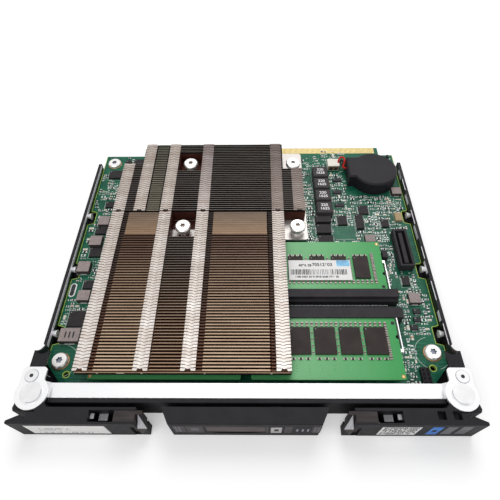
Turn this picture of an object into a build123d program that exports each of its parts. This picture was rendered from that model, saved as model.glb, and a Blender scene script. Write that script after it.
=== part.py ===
import os

from build123d import *

os.makedirs("parts", exist_ok=True)

# A multi node server sled: a sheet steel tray that carries one main board with four
# processors under a shared finned heatsink, four memory modules, and a pair of ejector levers.
# X runs to the right, Y to the edge connector at the rear, Z up. The origin is the middle of
# the bottom of the sled. All sizes are millimetres.

# Driving sizes of the whole sled
sled_width = 192.0
sled_depth = 177.6
sled_height = 18.0
front_y = -sled_depth / 2
rear_y = sled_depth / 2
tip_x = sled_width / 2

# Small gaps that several pieces share
seat_gap = 0.1
running_gap = 0.3
cut_over = 1.0

# Tray
floor_sheet = 1.0
wall_sheet = 0.8
tray_side_setback = 2.2
rail_top = 8.8
tray_rear_setback = 9.5
tray_front_setback = 9.1
wall_rear_setback = 18.5
hook_top = 16.4
hook_front_setback = 19.5
hook_length = 12.0
hook_sweep = 6.3
hook_flange = 6.8
hook_scallop = 1.7
tray_half_width = tip_x - tray_side_setback
tray_rear_y = rear_y - tray_rear_setback
tray_front_y = front_y + tray_front_setback
wall_rear_y = rear_y - wall_rear_setback
wall_inner_x = tray_half_width - wall_sheet

# Lever pivots, which also place the crossbar ears and the tray corners
pivot_inset = 7.0
pivot_setback = 12.3
pivot_x = tip_x - pivot_inset
pivot_y = front_y + pivot_setback
pin_radius = 2.0
pin_head_radius = 4.6
pin_head = 0.4
ear_radius = 6.9
corner_radius = 1.6

# Crossbar with its raised ears
bar_sheet = 1.0
crossbar_top = 14.9
crossbar_depth = 6.3
crossbar_setback = 11.2
ear_inner_reach = 3.9
ear_outer_reach = 6.2
ear_ramp = 2.7
ear_reach = 11.2
ear_top = 17.6
ear_rivet_side = 2.0
ear_rivet_reach = 7.3
rivet_radius = 1.1
rivet_head_radius = 2.7
rivet_head = 0.6
rivet_dimple_radius = 0.8
rivet_tail_radius = 1.8
crossbar_front_y = front_y + crossbar_setback
crossbar_rear_y = crossbar_front_y + crossbar_depth
ear_bottom = ear_top - bar_sheet
ear_inner_x = pivot_x - ear_inner_reach
ear_outer_x = pivot_x + ear_outer_reach
ear_rivet_x = pivot_x + ear_rivet_side
crossbar_half = ear_inner_x - ear_ramp

# Bezel bar behind the levers, and the fixed centre bezel
bezel_bar_depth = 1.9
bezel_bar_lip = 0.9
bezel_bar_over = 0.6
bezel_depth = 6.8
bezel_front_share = 0.321
bezel_flare = 3.4
bezel_wall = 1.4
bezel_boss_inset = 6.3
bezel_boss_height = 8.0
slot_x_shares = (-0.520, 0.263)
slot_low_z = 3.6
slot_lip = 2.2
slot_high_z = 13.2
slot_depth = 1.6
rib_pitch = 1.1
rib_count = 3
rib_depth = 0.35
rib_width = 0.55
rib_x_shares = (-0.916, 0.896)
button_x_shares = (0.331, 0.497)
button_low_z = 4.0
button_high_z = 13.4
button_travel = 0.8
switch_width = 4.0
switch_height = 5.0
button_flange = 0.7
button_flange_sheet = 0.6
light_radius = 0.8
light_length = 7.0
light_x_shares = [-0.740, -0.604, 0.591, 0.727]
light_z = 8.8
bezel_bar_half = crossbar_half + bezel_bar_over
bezel_front_half = bezel_front_share * tip_x
bezel_rear_half = bezel_front_half + bezel_flare
bezel_boss_half = bezel_front_half - bezel_boss_inset

# Levers
lever_depth = 6.6
lever_wall = 1.2
lever_top_wall = 1.5
lever_inner_share = 0.4615
lever_hub_radius = 3.6
lever_hub_drop = 1.4
lever_under = 16.0
lever_over = 1.3
claw_rear_share = 0.40
claw_front_share = 0.98
claw_room_share = 1.1
claw_root_share = 0.5
claw_inner_share = 0.34
notch_rear_share = 1.13
notch_front_share = 1.457
notch_rear_x_share = 0.11
notch_front_x_share = 0.07
tail_x_share = 0.26
tail_y_share = 0.53
latch_length = 8.6
window_length = 10.2
pocket_rear_wall = 1.15
pocket_front_wall = 0.85
rib_low_share = 0.48
rib_high_share = 0.66
web_top = 12.0
square_reach = 12.3
square_pitch = 6.2
square_size = 3.3
square_depth = 3.0
label_depth = 0.2
label_left_inset = 4.1
label_right_inset = 2.1
label_outer_inset = 5.4
label_low_z = 1.6
label_high_z = 14.6
lever_rear_y = front_y + lever_depth
lever_inner_x = lever_inner_share * tip_x
pocket_low_x = lever_inner_x + latch_length
pocket_high_x = pocket_low_x + window_length
square_low_x = pivot_x - square_reach

# Release latches in the levers' inner ends
latch_nose = 4.2
latch_shoulder = 2.5
latch_travel = 2.5
latch_gate_z = 12.6
latch_drop = 0.2
latch_foot = 1.0
facet_depth = 4.0
facet_low_z = 10.4
latch_nose_x = lever_inner_x - latch_nose
spring_wire = 0.5
spring_height = 4.0
spring_bottom = 4.0
spring_folds = 4
spring_width = 1.6

# Main board
board_sheet = 1.6
board_top = 4.9
board_side_gap = 0.3
board_front_setback = 14.8
board_rear_setback = 7.5
tab_left_inset = 24.3
tab_right_inset = 8.7
board_corner_x = 13.7
board_corner_y = 15.2
notch_length = 10.0
notch_depth = 3.4
board_half_width = wall_inner_x - board_side_gap
tab_left_x = tab_left_inset - board_half_width
tab_right_x = board_half_width - tab_right_inset
board_y_front = front_y + board_front_setback
board_y_rear = rear_y - board_rear_setback
board_bottom = board_top - board_sheet
finger_pitch = 2.4
finger_width = 1.6
finger_sheet = 0.05
finger_setback = 0.5
finger_length = 5.0
tooling_hole_radius = 1.3
tooling_hole_shares = [(-0.887, -0.723), (0.916, -0.686)]

# Board screws and standoffs
board_screw_shares = [(-0.931, 0.833), (-0.932, -0.653), (0.931, -0.604)]
standoff_shares = [
    (0.000, 0.743), (0.000, -0.343), (0.841, 0.405),
    (-0.841, 0.495), (0.912, 0.743),
]
screw_radius = 1.4
screw_head_radius = 3.6
screw_head = 1.9
screw_socket_radius = 1.2
screw_socket_depth = 1.0
standoff_radius = 2.8

# Rail rivets, on both walls
rail_rivet_y_shares = [0.3255, -0.0912, -0.5034]
rail_rivet_z = 6.3
rail_rivet_radius = 1.2
rail_rivet_head_radius = 1.9
rail_rivet_head = 2.2
guide_sheet = 1.0
guide_bottom = 1.4

# Memory
module_width = 67.6
module_front_margin = 5.5
module_sheet = 1.1
module_bottom = 10.0
module_depth = 33.1
module_seat = 3.5
module_key_x = 8.4
module_key_width = 1.6
module_side_notch = 1.1
module_side_notch_reach = 13.0
module_corner = 0.9
memory_chip_height = 1.0
front_chip_width = 9.7
front_chip_pitch = 11.6
rear_chip_width = 7.6
rear_chip_pitch = 11.2
chip_depth = 13.1
chip_front_reach = 18.0
chip_rear_reach = 16.6
chip_count = 5
socket_top = 12.1
socket_end = 2.4
socket_half_gap = 0.3
rear_socket_depth = 5.8
front_socket_depth = 6.8
socket_back_gap = 3.0
socket_shoulder = 2.2
socket_step = 1.4
arm_sheet = 0.5
arm_gap = 0.6
arm_length = 17.2
arm_height = 2.4
arm_bottom = 9.4
arm_root = 2.4
arm_slack = 0.9
arm_hook = 0.9
arm_hook_length = 1.6
arm_pin_radius = 0.6
arm_room = arm_gap + arm_sheet + arm_slack
module_half = module_width / 2
socket_inner_x = socket_half_gap
module_inner_x = socket_inner_x + arm_room
module_centre_x = module_inner_x + module_half
module_outer_x = module_centre_x + module_half
socket_outer_x = module_outer_x + arm_room + socket_end
front_module_y = board_y_front + module_front_margin
front_socket_low_y = front_module_y + module_depth - module_seat
front_socket_high_y = front_socket_low_y + front_socket_depth
rear_socket_low_y = front_socket_high_y + socket_back_gap
rear_socket_high_y = rear_socket_low_y + rear_socket_depth
rear_module_y = rear_socket_high_y - module_seat + module_depth

# Heatsink
base_sheet = 1.4
base_bottom = 7.6
shelf_sheet = 0.9
shelf_bottom = 12.6
fin_top = 17.1
strip_sheet = 0.35
fin_sheet = 0.36
fin_pitch = 1.53
foot_sheet = 0.35
strip_gap = 0.1
sink_left_share = -0.807
sink_right_share = 0.2136
base_screw_margin = 5.8
base_fin_margin = 1.2
sink_front_inset = 1.5
sink_rear_inset = 2.7
split_gap = 0.4
step_gap = 0.7
base_tab_setback = 2.7
rear_left_notch_width = 11.4
rear_left_notch_depth = 17.1
rear_right_notch_side = 0.8
rear_right_notch_depth = 21.6
strip_width = 6.5
strip_x_shares = [-0.956, -0.607, -0.332, 0.221]
rear_only_strip_x_shares = [-0.803, 0.381]
arch_radius = 1.5
pocket_left_room = 6.6
pocket_right_room = 7.2
pocket_front_room = 8.1
pocket_rear_room = 6.8
zone_x_shares = [(-0.873, -0.652), (-0.253, 0.138)]
zone_depth = 16.0
sink_screw_x_shares = [-0.382, 0.293]
front_screw_setback = 8.3
rear_screw_setback = 14.0
sink_left_x = sink_left_share * board_half_width
sink_right_x = sink_right_share * board_half_width
sink_front_y = front_module_y + sink_front_inset
sink_rear_y = board_y_rear - sink_rear_inset
step_y = rear_module_y + step_gap
sink_split_y = step_y + zone_depth + split_gap / 2 + running_gap
sink_screw_x_places = [share * board_half_width for share in sink_screw_x_shares]
sink_screw_y_places = [step_y + front_screw_setback, sink_rear_y - rear_screw_setback]
base_right_x = sink_screw_x_places[-1] + base_screw_margin
sink_rear_right_x = base_right_x - base_fin_margin
rear_left_notch_x = sink_left_x + rear_left_notch_width
rear_left_notch_y = sink_rear_y - rear_left_notch_depth
rear_right_notch_x = sink_right_x + rear_right_notch_side
rear_right_notch_y = sink_rear_y - rear_right_notch_depth
base_top = base_bottom + base_sheet
shelf_top = shelf_bottom + shelf_sheet
sink_screw_top = 14.8
sink_screw_head = 2.0
sink_screw_head_radius = 3.4
sink_shaft_radius = 1.9

# Processors and their pads
soc_width = 24.0
soc_height = 2.3
soc_lid_inset = 2.0
soc_lid_height = 0.8
soc_shares = [
    (-0.604, 0.660), (-0.604, 0.327), (-0.119, 0.660), (-0.119, 0.327),
]

# Battery, its plug and its two leads
battery_side_setback = 16.5
battery_rear_setback = 21.1
battery_radius = 13.65
battery_height = 8.6
battery_tail = 15.7
battery_tail_half = 8.5
battery_tail_offset = 2.0
battery_rim = 0.9
plug_reach = 19.4
plug_width = 7.2
plug_offset = 10.4
plug_depth = 6.4
plug_height = 4.0
lead_radius = 0.65
lead_pitch = 2.0
lead_bottom = 6.9
lead_rise_shares = (1.4, 1.0)
battery_x = board_half_width - battery_side_setback
battery_y = board_y_rear - battery_rear_setback
plug_high_x = battery_x - plug_reach
plug_low_x = plug_high_x - plug_width
plug_y = battery_y + plug_offset

# Other connectors
mezzanine_setback = 9.4
mezzanine_y_share = 0.045
mezzanine_width = 7.4
mezzanine_length = 24.2
mezzanine_height = 5.0
mezzanine_wall = 1.1
mezzanine_tongue = 2.0
header_side_setback = 12.3
header_front_setback = 8.8
header_pitch = 2.0
header_rows = 4
header_height = 2.0
header_pin = 0.5
header_pin_height = 3.4
mezzanine_x = board_half_width - mezzanine_setback
mezzanine_y = mezzanine_y_share * rear_y
header_x = board_half_width - header_side_setback
header_y = board_y_front + header_front_setback

# Inductors in a row, and the dark parts in front of them
coil_x_share = 0.4747
coil_rear_setback = 19.7
coil_pitch = 9.65
coil_width = 9.1
coil_depth = 8.5
coil_height = 5.1
coil_count = 4
coil_edge = 0.5
coil_x = coil_x_share * board_half_width
coil_y = board_y_rear - coil_rear_setback
coil_end_y = coil_y - (coil_count - 1) * coil_pitch

# Chips, as the sizes that their shares follow
chip_side = 10.0
chip_height = 3.0


def block(x, y, z, mode=Mode.ADD):
    """A box between the low and high value on each axis."""
    with Locations((sum(x) / 2, sum(y) / 2, sum(z) / 2)):
        Box(x[1] - x[0], y[1] - y[0], z[1] - z[0], mode=mode)


def round_bar(x, y, z, radius, mode=Mode.ADD):
    """An upright cylinder at x, y between the low and high value of z."""
    with Locations((x, y, sum(z) / 2)):
        Cylinder(radius, z[1] - z[0], mode=mode)


def both(values):
    """The same places on the left and on the right."""
    return [(side * x, y) for side in (-1, 1) for x, y in values]


def on_board(shares):
    """Places from shares of the board's half width and of the sled's half depth."""
    return [(x * board_half_width, y * rear_y) for x, y in shares]


board_screw_places = on_board(board_screw_shares)
sink_screw_places = [(x, y) for x in sink_screw_x_places for y in sink_screw_y_places]
soc_places = on_board(soc_shares)
rail_rivet_y_places = [share * rear_y for share in rail_rivet_y_shares]
light_x_places = [share * bezel_front_half for share in light_x_shares]
strip_places = [-share * sink_left_x for share in strip_x_shares]
rear_only_strip_places = [-share * sink_left_x for share in rear_only_strip_x_shares]
slot_x = [share * bezel_front_half for share in slot_x_shares]
button_x = [share * bezel_front_half for share in button_x_shares]
screw_pocket_x = (
    sink_screw_x_places[0] - pocket_left_room, sink_screw_x_places[0] + pocket_right_room
)

# Tray: floor with round corners under the lever pivots, side walls that rise to a hook
# under each ear, and a folded rear edge.
with BuildPart() as tray:
    with BuildSketch():
        with Locations((0, (tray_front_y + tray_rear_y) / 2)):
            Rectangle(2 * tray_half_width, tray_rear_y - tray_front_y)
        for side in (-1, 1):
            with Locations((side * tip_x, tray_front_y)):
                Rectangle(
                    2 * (tip_x - pivot_x), 2 * (pivot_y - tray_front_y), mode=Mode.SUBTRACT
                )
            with Locations((side * pivot_x, pivot_y)):
                Circle(ear_radius)
    extrude(amount=floor_sheet)
    for side in (-1, 1):
        with BuildSketch(Plane.YZ.offset(side * tray_half_width)):
            hook_front_y = front_y + hook_front_setback
            hook_rear_y = hook_front_y + hook_length
            with BuildLine():
                Polyline(
                    (hook_front_y, 0),
                    (wall_rear_y, 0),
                    (wall_rear_y, rail_top),
                    (hook_rear_y + hook_sweep, rail_top),
                )
                RadiusArc(
                    (hook_rear_y + hook_sweep, rail_top),
                    (hook_rear_y, hook_top),
                    2 * hook_sweep,
                )
                Polyline(
                    (hook_rear_y, hook_top), (hook_front_y, hook_top), (hook_front_y, 0)
                )
            make_face()
        extrude(amount=-side * wall_sheet)
        flange_x = (tray_half_width - hook_flange, tray_half_width)
        block(
            sorted(side * x for x in flange_x),
            (hook_front_y, hook_rear_y),
            (hook_top - floor_sheet, hook_top),
        )
        # The flange's rear edge is scalloped
        round_bar(
            side * sum(flange_x) / 2,
            hook_rear_y + hook_flange / 2 - hook_scallop,
            (hook_top - floor_sheet, hook_top + cut_over),
            hook_flange / 2,
            Mode.SUBTRACT,
        )
    block(
        (-wall_inner_x, wall_inner_x),
        (tray_rear_y - floor_sheet, tray_rear_y),
        (0, board_bottom - seat_gap),
    )
    with Locations(*[(*place, 0) for place in both([(pivot_x, pivot_y)])]):
        Hole(pin_radius)
    for side in (-1, 1):
        rivet_y = pivot_y + ear_rivet_reach
        round_bar(
            side * ear_rivet_x, rivet_y, (0, hook_top + cut_over), rivet_radius, Mode.SUBTRACT
        )
        for y in rail_rivet_y_places:
            with Locations(Location((side * tray_half_width, y, rail_rivet_z), (0, 90, 0))):
                Cylinder(rail_rivet_radius, 4 * wall_sheet, mode=Mode.SUBTRACT)
tray.part.label = "tray"
export_step(tray.part, "parts/tray.step")

# Guide strips that run in the enclosure's rails, one on each wall
for name, side in (("left_guide_strip", -1), ("right_guide_strip", 1)):
    with BuildPart() as guide:
        block(
            sorted((side * tray_half_width, side * (tray_half_width + guide_sheet))),
            (front_y + hook_front_setback + hook_length + hook_sweep, wall_rear_y),
            (guide_bottom, rail_top),
        )
        chamfer(guide.edges().filter_by(Axis.Z).group_by(Axis.Y)[-1], guide_sheet / 3)
        for y in rail_rivet_y_places:
            with Locations(Location((side * tray_half_width, y, rail_rivet_z), (0, 90, 0))):
                Cylinder(rail_rivet_radius, 4 * guide_sheet, mode=Mode.SUBTRACT)
    guide.part.label = name
    export_step(guide.part, f"parts/{name}.step")

# Rivets through the walls and the guide strips, with a cone shaped head inside
with BuildPart() as rail_rivets:
    for side in (-1, 1):
        for y in rail_rivet_y_places:
            place = Plane(
                origin=(side * (wall_inner_x - rail_rivet_head), y, rail_rivet_z),
                x_dir=(0, 1, 0),
                z_dir=(side, 0, 0),
            )
            outer = rail_rivet_head + wall_sheet + guide_sheet
            with BuildSketch(Plane(place.origin, x_dir=place.z_dir, z_dir=(0, 1, 0))):
                with BuildLine():
                    Polyline(
                        (0, 0),
                        (0, rail_rivet_head_radius),
                        (rail_rivet_head, rail_rivet_radius),
                        (outer, rail_rivet_radius),
                        (outer, 0),
                        close=True,
                    )
                make_face()
            revolve(axis=Axis(place.origin, place.z_dir))
rail_rivets.part.label = "rail_rivets"
export_step(rail_rivets.part, "parts/rail_rivets.step")

# Crossbar: one pressed strip with a front web and two raised ears round the lever pivots
with BuildPart() as crossbar:
    block(
        (-crossbar_half, crossbar_half),
        (crossbar_front_y, crossbar_rear_y),
        (crossbar_top - bar_sheet, crossbar_top),
    )
    block(
        (-crossbar_half, crossbar_half),
        (crossbar_front_y, crossbar_front_y + bar_sheet),
        (floor_sheet, crossbar_top),
    )
    for side in (-1, 1):
        with BuildSketch(Plane.XZ.offset(-crossbar_rear_y)):
            with BuildLine():
                Polyline(
                    (side * crossbar_half, crossbar_top),
                    (side * crossbar_half, crossbar_top - bar_sheet),
                    (side * (crossbar_half + bar_sheet / 2), crossbar_top - bar_sheet),
                    (side * (ear_inner_x + bar_sheet / 2), ear_bottom),
                    (side * (ear_inner_x + bar_sheet / 2), ear_top),
                    (side * ear_inner_x, ear_top),
                    close=True,
                )
            make_face()
        extrude(amount=crossbar_rear_y - crossbar_front_y)
        with BuildSketch(Plane.XY.offset(ear_bottom)):
            ear_rear_y = pivot_y + ear_reach
            with Locations((side * (ear_inner_x + ear_outer_x) / 2, (ear_rear_y + pivot_y) / 2)):
                Rectangle(ear_outer_x - ear_inner_x, ear_rear_y - pivot_y)
            with Locations((side * pivot_x, pivot_y)):
                Circle(ear_radius)
        extrude(amount=bar_sheet)
    fillet(
        crossbar.edges().filter_by(Axis.Z).group_by(Axis.Y)[-1], corner_radius
    )
    for side in (-1, 1):
        ear_span = (ear_bottom - cut_over, ear_top + cut_over)
        round_bar(side * pivot_x, pivot_y, ear_span, pin_radius, Mode.SUBTRACT)
        round_bar(
            side * ear_rivet_x, pivot_y + ear_rivet_reach, ear_span, rivet_radius, Mode.SUBTRACT
        )
crossbar.part.label = "crossbar"
export_step(crossbar.part, "parts/crossbar.step")

# Rivets that hold the ears on the tray's hooks
with BuildPart() as corner_rivets:
    for side in (-1, 1):
        x, y = side * ear_rivet_x, pivot_y + ear_rivet_reach
        round_bar(x, y, (hook_top - 2 * floor_sheet, ear_top), rivet_radius)
        round_bar(x, y, (ear_top, ear_top + rivet_head / 2), rivet_head_radius)
        round_bar(
            x,
            y,
            (hook_top - 2 * floor_sheet, hook_top - floor_sheet),
            rivet_tail_radius,
        )
        round_bar(x, y, (ear_top - rivet_head, sled_height), rivet_dimple_radius, Mode.SUBTRACT)
corner_rivets.part.label = "corner_rivets"
export_step(corner_rivets.part, "parts/corner_rivets.step")

# Pivot pins, each through an ear, a lever's hub and the tray
for name, side in (("left_pivot_pin", -1), ("right_pivot_pin", 1)):
    with BuildPart() as pin:
        round_bar(side * pivot_x, pivot_y, (0, ear_top), pin_radius)
        round_bar(side * pivot_x, pivot_y, (ear_top, ear_top + pin_head), pin_head_radius)
    pin.part.label = name
    export_step(pin.part, f"parts/{name}.step")


def lever_outline():
    """The right lever from above: long arm, claw behind the notch, and the pointed tail."""
    claw_tip_x = tip_x - seat_gap
    claw_rear = pivot_y - claw_rear_share * pivot_inset
    claw_front = pivot_y - claw_front_share * pivot_inset
    with BuildSketch() as outline:
        with BuildLine():
            Polyline(
                (lever_inner_x, front_y),
                (tip_x - seat_gap, front_y),
                (tip_x, front_y + 3 * seat_gap),
                (tip_x, front_y + lever_wall),
                (pivot_x + tail_x_share * pivot_inset, front_y + tail_y_share * lever_depth),
                (
                    pivot_x - notch_front_x_share * pivot_inset,
                    pivot_y - notch_front_share * pivot_inset,
                ),
                (
                    pivot_x - notch_rear_x_share * pivot_inset,
                    pivot_y - notch_rear_share * pivot_inset,
                ),
                (pivot_x + claw_inner_share * pivot_inset, claw_front),
                (claw_tip_x - lever_wall / 2, claw_front),
                (claw_tip_x, claw_front + lever_wall),
                (claw_tip_x - lever_wall / 2, claw_rear),
                (pivot_x + claw_root_share * pivot_inset, pivot_y),
                (pivot_x - lever_hub_radius, pivot_y),
                (pivot_x - lever_hub_radius, pivot_y - lever_hub_drop),
                (pivot_x - ear_radius - lever_wall, lever_rear_y),
                (lever_inner_x, lever_rear_y),
                close=True,
            )
        make_face()
    return outline.sketch


def build_lever(label_low, label_high, squares):
    """The right hand lever; the left one is its mirror image."""
    window_front = front_y + pocket_front_wall
    window_rear = lever_rear_y - pocket_rear_wall
    with BuildPart() as lever:
        extrude(lever_outline(), amount=sled_height)
        # Room for the tray's corner below the arm and for the ear above it
        round_bar(
            pivot_x, pivot_y, (lever_under, sled_height + cut_over), ear_radius + running_gap,
            Mode.SUBTRACT,
        )
        round_bar(
            pivot_x, pivot_y, (-cut_over, lever_over), ear_radius + running_gap, Mode.SUBTRACT
        )
        # The claw is lower than the arm, because it turns under the ear
        block(
            (pivot_x - lever_hub_radius, tip_x + cut_over),
            (pivot_y - claw_room_share * pivot_inset, pivot_y + pivot_inset),
            (lever_under, sled_height + cut_over),
            Mode.SUBTRACT,
        )
        block(
            (pivot_x - lever_hub_radius, tip_x + cut_over),
            (pivot_y - claw_room_share * pivot_inset, pivot_y + pivot_inset),
            (-cut_over, lever_over),
            Mode.SUBTRACT,
        )
        round_bar(pivot_x, pivot_y, (lever_over, lever_under), lever_hub_radius)
        round_bar(
            pivot_x, pivot_y, (-cut_over, sled_height), pin_radius + seat_gap / 2, Mode.SUBTRACT
        )
        # Hollow underside
        block(
            (pocket_high_x + lever_wall, square_low_x - lever_wall),
            (front_y + lever_wall, lever_rear_y - lever_wall),
            (-cut_over, sled_height - lever_top_wall),
            Mode.SUBTRACT,
        )
        # Gate in the front wall for the latch's nose
        block(
            (lever_inner_x - cut_over, lever_inner_x + latch_travel + running_gap),
            (front_y - cut_over, window_front + seat_gap),
            (-cut_over, latch_gate_z),
            Mode.SUBTRACT,
        )
        # Channel for the latch, open at the inner end, with a web across it
        block(
            (lever_inner_x - cut_over, pocket_high_x),
            (window_front, window_rear),
            (-cut_over, sled_height + cut_over),
            Mode.SUBTRACT,
        )
        window = pocket_high_x - pocket_low_x
        block(
            (pocket_low_x + rib_low_share * window, pocket_low_x + rib_high_share * window),
            (window_front - seat_gap, window_rear + seat_gap),
            (latch_foot, web_top),
        )
        for index in range(squares):
            x = square_low_x + index * square_pitch
            block(
                (x, x + square_size),
                (lever_rear_y - lever_wall - square_size, lever_rear_y - lever_wall),
                (sled_height - square_depth, sled_height + cut_over),
                Mode.SUBTRACT,
            )
        block(
            (label_low, label_high),
            (front_y - cut_over, front_y + label_depth),
            (label_low_z, label_high_z),
            Mode.SUBTRACT,
        )
    return lever


# The levers differ in their label recess and in two square pockets on the right one
right_lever = build_lever(
    pocket_low_x + label_right_inset, square_low_x - label_outer_inset, 2
)
left_source = build_lever(pocket_low_x + label_left_inset, tip_x - label_outer_inset, 0)
with BuildPart() as left_lever:
    mirror(left_source.part, about=Plane.YZ)
right_lever.part.label = "right_lever"
export_step(right_lever.part, "parts/right_lever.step")
left_lever.part.label = "left_lever"
export_step(left_lever.part, "parts/left_lever.step")


def build_latch():
    """The right hand release latch: a slider with a pointed nose and a sloped facet."""
    window_front = front_y + pocket_front_wall + seat_gap
    window_rear = lever_rear_y - pocket_rear_wall - seat_gap
    top = sled_height - latch_drop
    with BuildPart() as latch:
        with BuildSketch(Plane.XY.offset(latch_foot)):
            with BuildLine():
                Polyline(
                    (lever_inner_x - latch_shoulder, window_rear),
                    (pocket_low_x, window_rear),
                    (pocket_low_x, window_front),
                    (lever_inner_x, window_front),
                    (lever_inner_x, front_y),
                    (latch_nose_x, front_y),
                    close=True,
                )
            make_face()
        extrude(amount=top - latch_foot)
        # The nose's facet falls to the front
        with BuildSketch(Plane.YZ.offset(lever_inner_x)):
            with BuildLine():
                Polyline(
                    (front_y, facet_low_z),
                    (front_y + facet_depth, top),
                    (front_y + facet_depth, top + cut_over),
                    (front_y - cut_over, top + cut_over),
                    (front_y - cut_over, facet_low_z),
                    close=True,
                )
            make_face()
        extrude(amount=-latch_nose - cut_over, mode=Mode.SUBTRACT)
        # Its underside slopes back to the lever's end
        with BuildSketch(Plane.XZ):
            with BuildLine():
                Polyline(
                    (latch_nose_x, facet_low_z),
                    (lever_inner_x, latch_foot),
                    (lever_inner_x, latch_foot - cut_over),
                    (latch_nose_x - cut_over, latch_foot - cut_over),
                    (latch_nose_x - cut_over, facet_low_z),
                    close=True,
                )
            make_face()
        extrude(amount=cut_over - front_y, mode=Mode.SUBTRACT)
        # Pocket for the spring
        block(
            (pocket_low_x - spring_width * 2, pocket_low_x + cut_over),
            (window_front - cut_over, window_front + spring_width + running_gap),
            (spring_bottom - running_gap, spring_bottom + spring_height + running_gap),
            Mode.SUBTRACT,
        )
    return latch


right_latch = build_latch()
right_latch.part.label = "right_latch"
export_step(right_latch.part, "parts/right_latch.step")
with BuildPart() as left_latch:
    mirror(right_latch.part, about=Plane.YZ)
left_latch.part.label = "left_latch"
export_step(left_latch.part, "parts/left_latch.step")

# Latch springs: a folded strip between the latch's pocket and the web of the lever
spring_low_x = pocket_low_x - spring_width * 2
spring_high_x = pocket_low_x + rib_low_share * (pocket_high_x - pocket_low_x)
spring_front_y = front_y + pocket_front_wall + seat_gap
for name, side in (("left_latch_spring", -1), ("right_latch_spring", 1)):
    with BuildPart() as spring:
        step = (spring_high_x - spring_low_x - spring_wire) / spring_folds
        for fold in range(spring_folds + 1):
            x = spring_low_x + fold * step
            block(
                sorted((side * x, side * (x + spring_wire))),
                (spring_front_y, spring_front_y + spring_width),
                (spring_bottom, spring_bottom + spring_height),
            )
            if fold < spring_folds:
                y = spring_front_y + (fold % 2) * (spring_width - spring_wire)
                block(
                    sorted((side * x, side * (x + step + spring_wire))),
                    (y, y + spring_wire),
                    (spring_bottom, spring_bottom + spring_height),
                )
    spring.part.label = name
    export_step(spring.part, f"parts/{name}.step")

# Bezel bar behind the levers, with a lip that covers the crossbar's front edge
bezel_bar_front = tray_front_y
bezel_bar_rear = bezel_bar_front + bezel_bar_depth
with BuildPart() as bezel_bar:
    block(
        (-bezel_bar_half, bezel_bar_half),
        (bezel_bar_front, bezel_bar_rear),
        (floor_sheet, crossbar_top),
    )
    fillet(bezel_bar.edges().filter_by(Axis.X).group_by(Axis.Z)[-1], bezel_bar_lip / 2)
bezel_bar.part.label = "bezel_bar"
export_step(bezel_bar.part, "parts/bezel_bar.step")

# Centre bezel: a moulded cap with ribs, a recess, light holes and a button hole
bezel_rear = front_y + bezel_depth
button_z = (button_low_z, button_high_z)
with BuildPart() as centre_bezel:
    with BuildSketch():
        with BuildLine():
            Polyline(
                (-bezel_front_half, front_y),
                (bezel_front_half, front_y),
                (bezel_rear_half, bezel_rear),
                (-bezel_rear_half, bezel_rear),
                close=True,
            )
        make_face()
    extrude(amount=sled_height)
    chamfer(centre_bezel.edges().filter_by(Axis.X).group_by(Axis.Y)[0], rib_depth)
    block(
        (-bezel_front_half + bezel_wall, bezel_front_half - bezel_wall),
        (front_y + 2 * bezel_wall, bezel_rear + cut_over),
        (bezel_wall, sled_height - bezel_wall),
        Mode.SUBTRACT,
    )
    # Hollow bosses that reach back to the bezel bar
    for side in (-1, 1):
        block(
            sorted((side * bezel_boss_half, side * (bezel_boss_half + 2 * bezel_wall))),
            (front_y + bezel_wall, bezel_bar_front),
            (floor_sheet, bezel_boss_height),
        )
    # The slot's lower lip is curved
    with BuildSketch(Plane.XZ.offset(-front_y)):
        with BuildLine():
            Polyline(
                (slot_x[0], slot_low_z + slot_lip),
                (slot_x[0], slot_high_z),
                (slot_x[1], slot_high_z),
                (slot_x[1], slot_low_z + slot_lip),
            )
            ThreePointArc(
                (slot_x[1], slot_low_z + slot_lip),
                (sum(slot_x) / 2, slot_low_z),
                (slot_x[0], slot_low_z + slot_lip),
            )
        make_face()
    extrude(amount=-slot_depth, mode=Mode.SUBTRACT)
    block(
        button_x, (front_y - cut_over, front_y + 3 * bezel_wall), button_z, Mode.SUBTRACT
    )
    for share in rib_x_shares:
        for index in range(rib_count):
            x = share * bezel_front_half + index * rib_pitch
            block(
                (x, x + rib_width),
                (front_y - cut_over, front_y + rib_depth),
                button_z,
                Mode.SUBTRACT,
            )
    for x in light_x_places:
        with Locations(Location((x, front_y, light_z), (90, 0, 0))):
            Cylinder(light_radius, 6 * bezel_wall, mode=Mode.SUBTRACT)
centre_bezel.part.label = "centre_bezel"
export_step(centre_bezel.part, "parts/centre_bezel.step")

# Light pipes in the bezel's round holes
with BuildPart() as light_pipes:
    for x in light_x_places:
        with Locations(Location((x, front_y + light_length / 2, light_z), (90, 0, 0))):
            Cylinder(light_radius, light_length)
light_pipes.part.label = "light_pipes"
export_step(light_pipes.part, "parts/light_pipes.step")

# Push button with a flange behind the bezel's wall
button_rear = front_y + 2 * bezel_wall + seat_gap + button_flange_sheet
with BuildPart() as push_button:
    block(
        (button_x[0] + seat_gap, button_x[1] - seat_gap),
        (front_y, button_rear),
        (button_low_z + seat_gap, button_high_z - seat_gap),
    )
    chamfer(push_button.edges().group_by(Axis.Y)[0], rib_depth)
    block(
        (button_x[0] - button_flange, button_x[1] + button_flange),
        (button_rear - button_flange_sheet, button_rear),
        (button_low_z - button_flange, button_high_z + button_flange),
    )
push_button.part.label = "push_button"
export_step(push_button.part, "parts/push_button.step")

# Switch that the button presses, carried by the bezel bar
switch_x = sum(button_x) / 2
switch_z = sum(button_z) / 2
with BuildPart() as button_switch:
    block(
        (switch_x - switch_width / 2, switch_x + switch_width / 2),
        (button_rear + button_travel + seat_gap, bezel_bar_front),
        (switch_z - switch_height / 2, switch_z + switch_height / 2),
    )
button_switch.part.label = "button_switch"
export_step(button_switch.part, "parts/button_switch.step")

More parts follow.
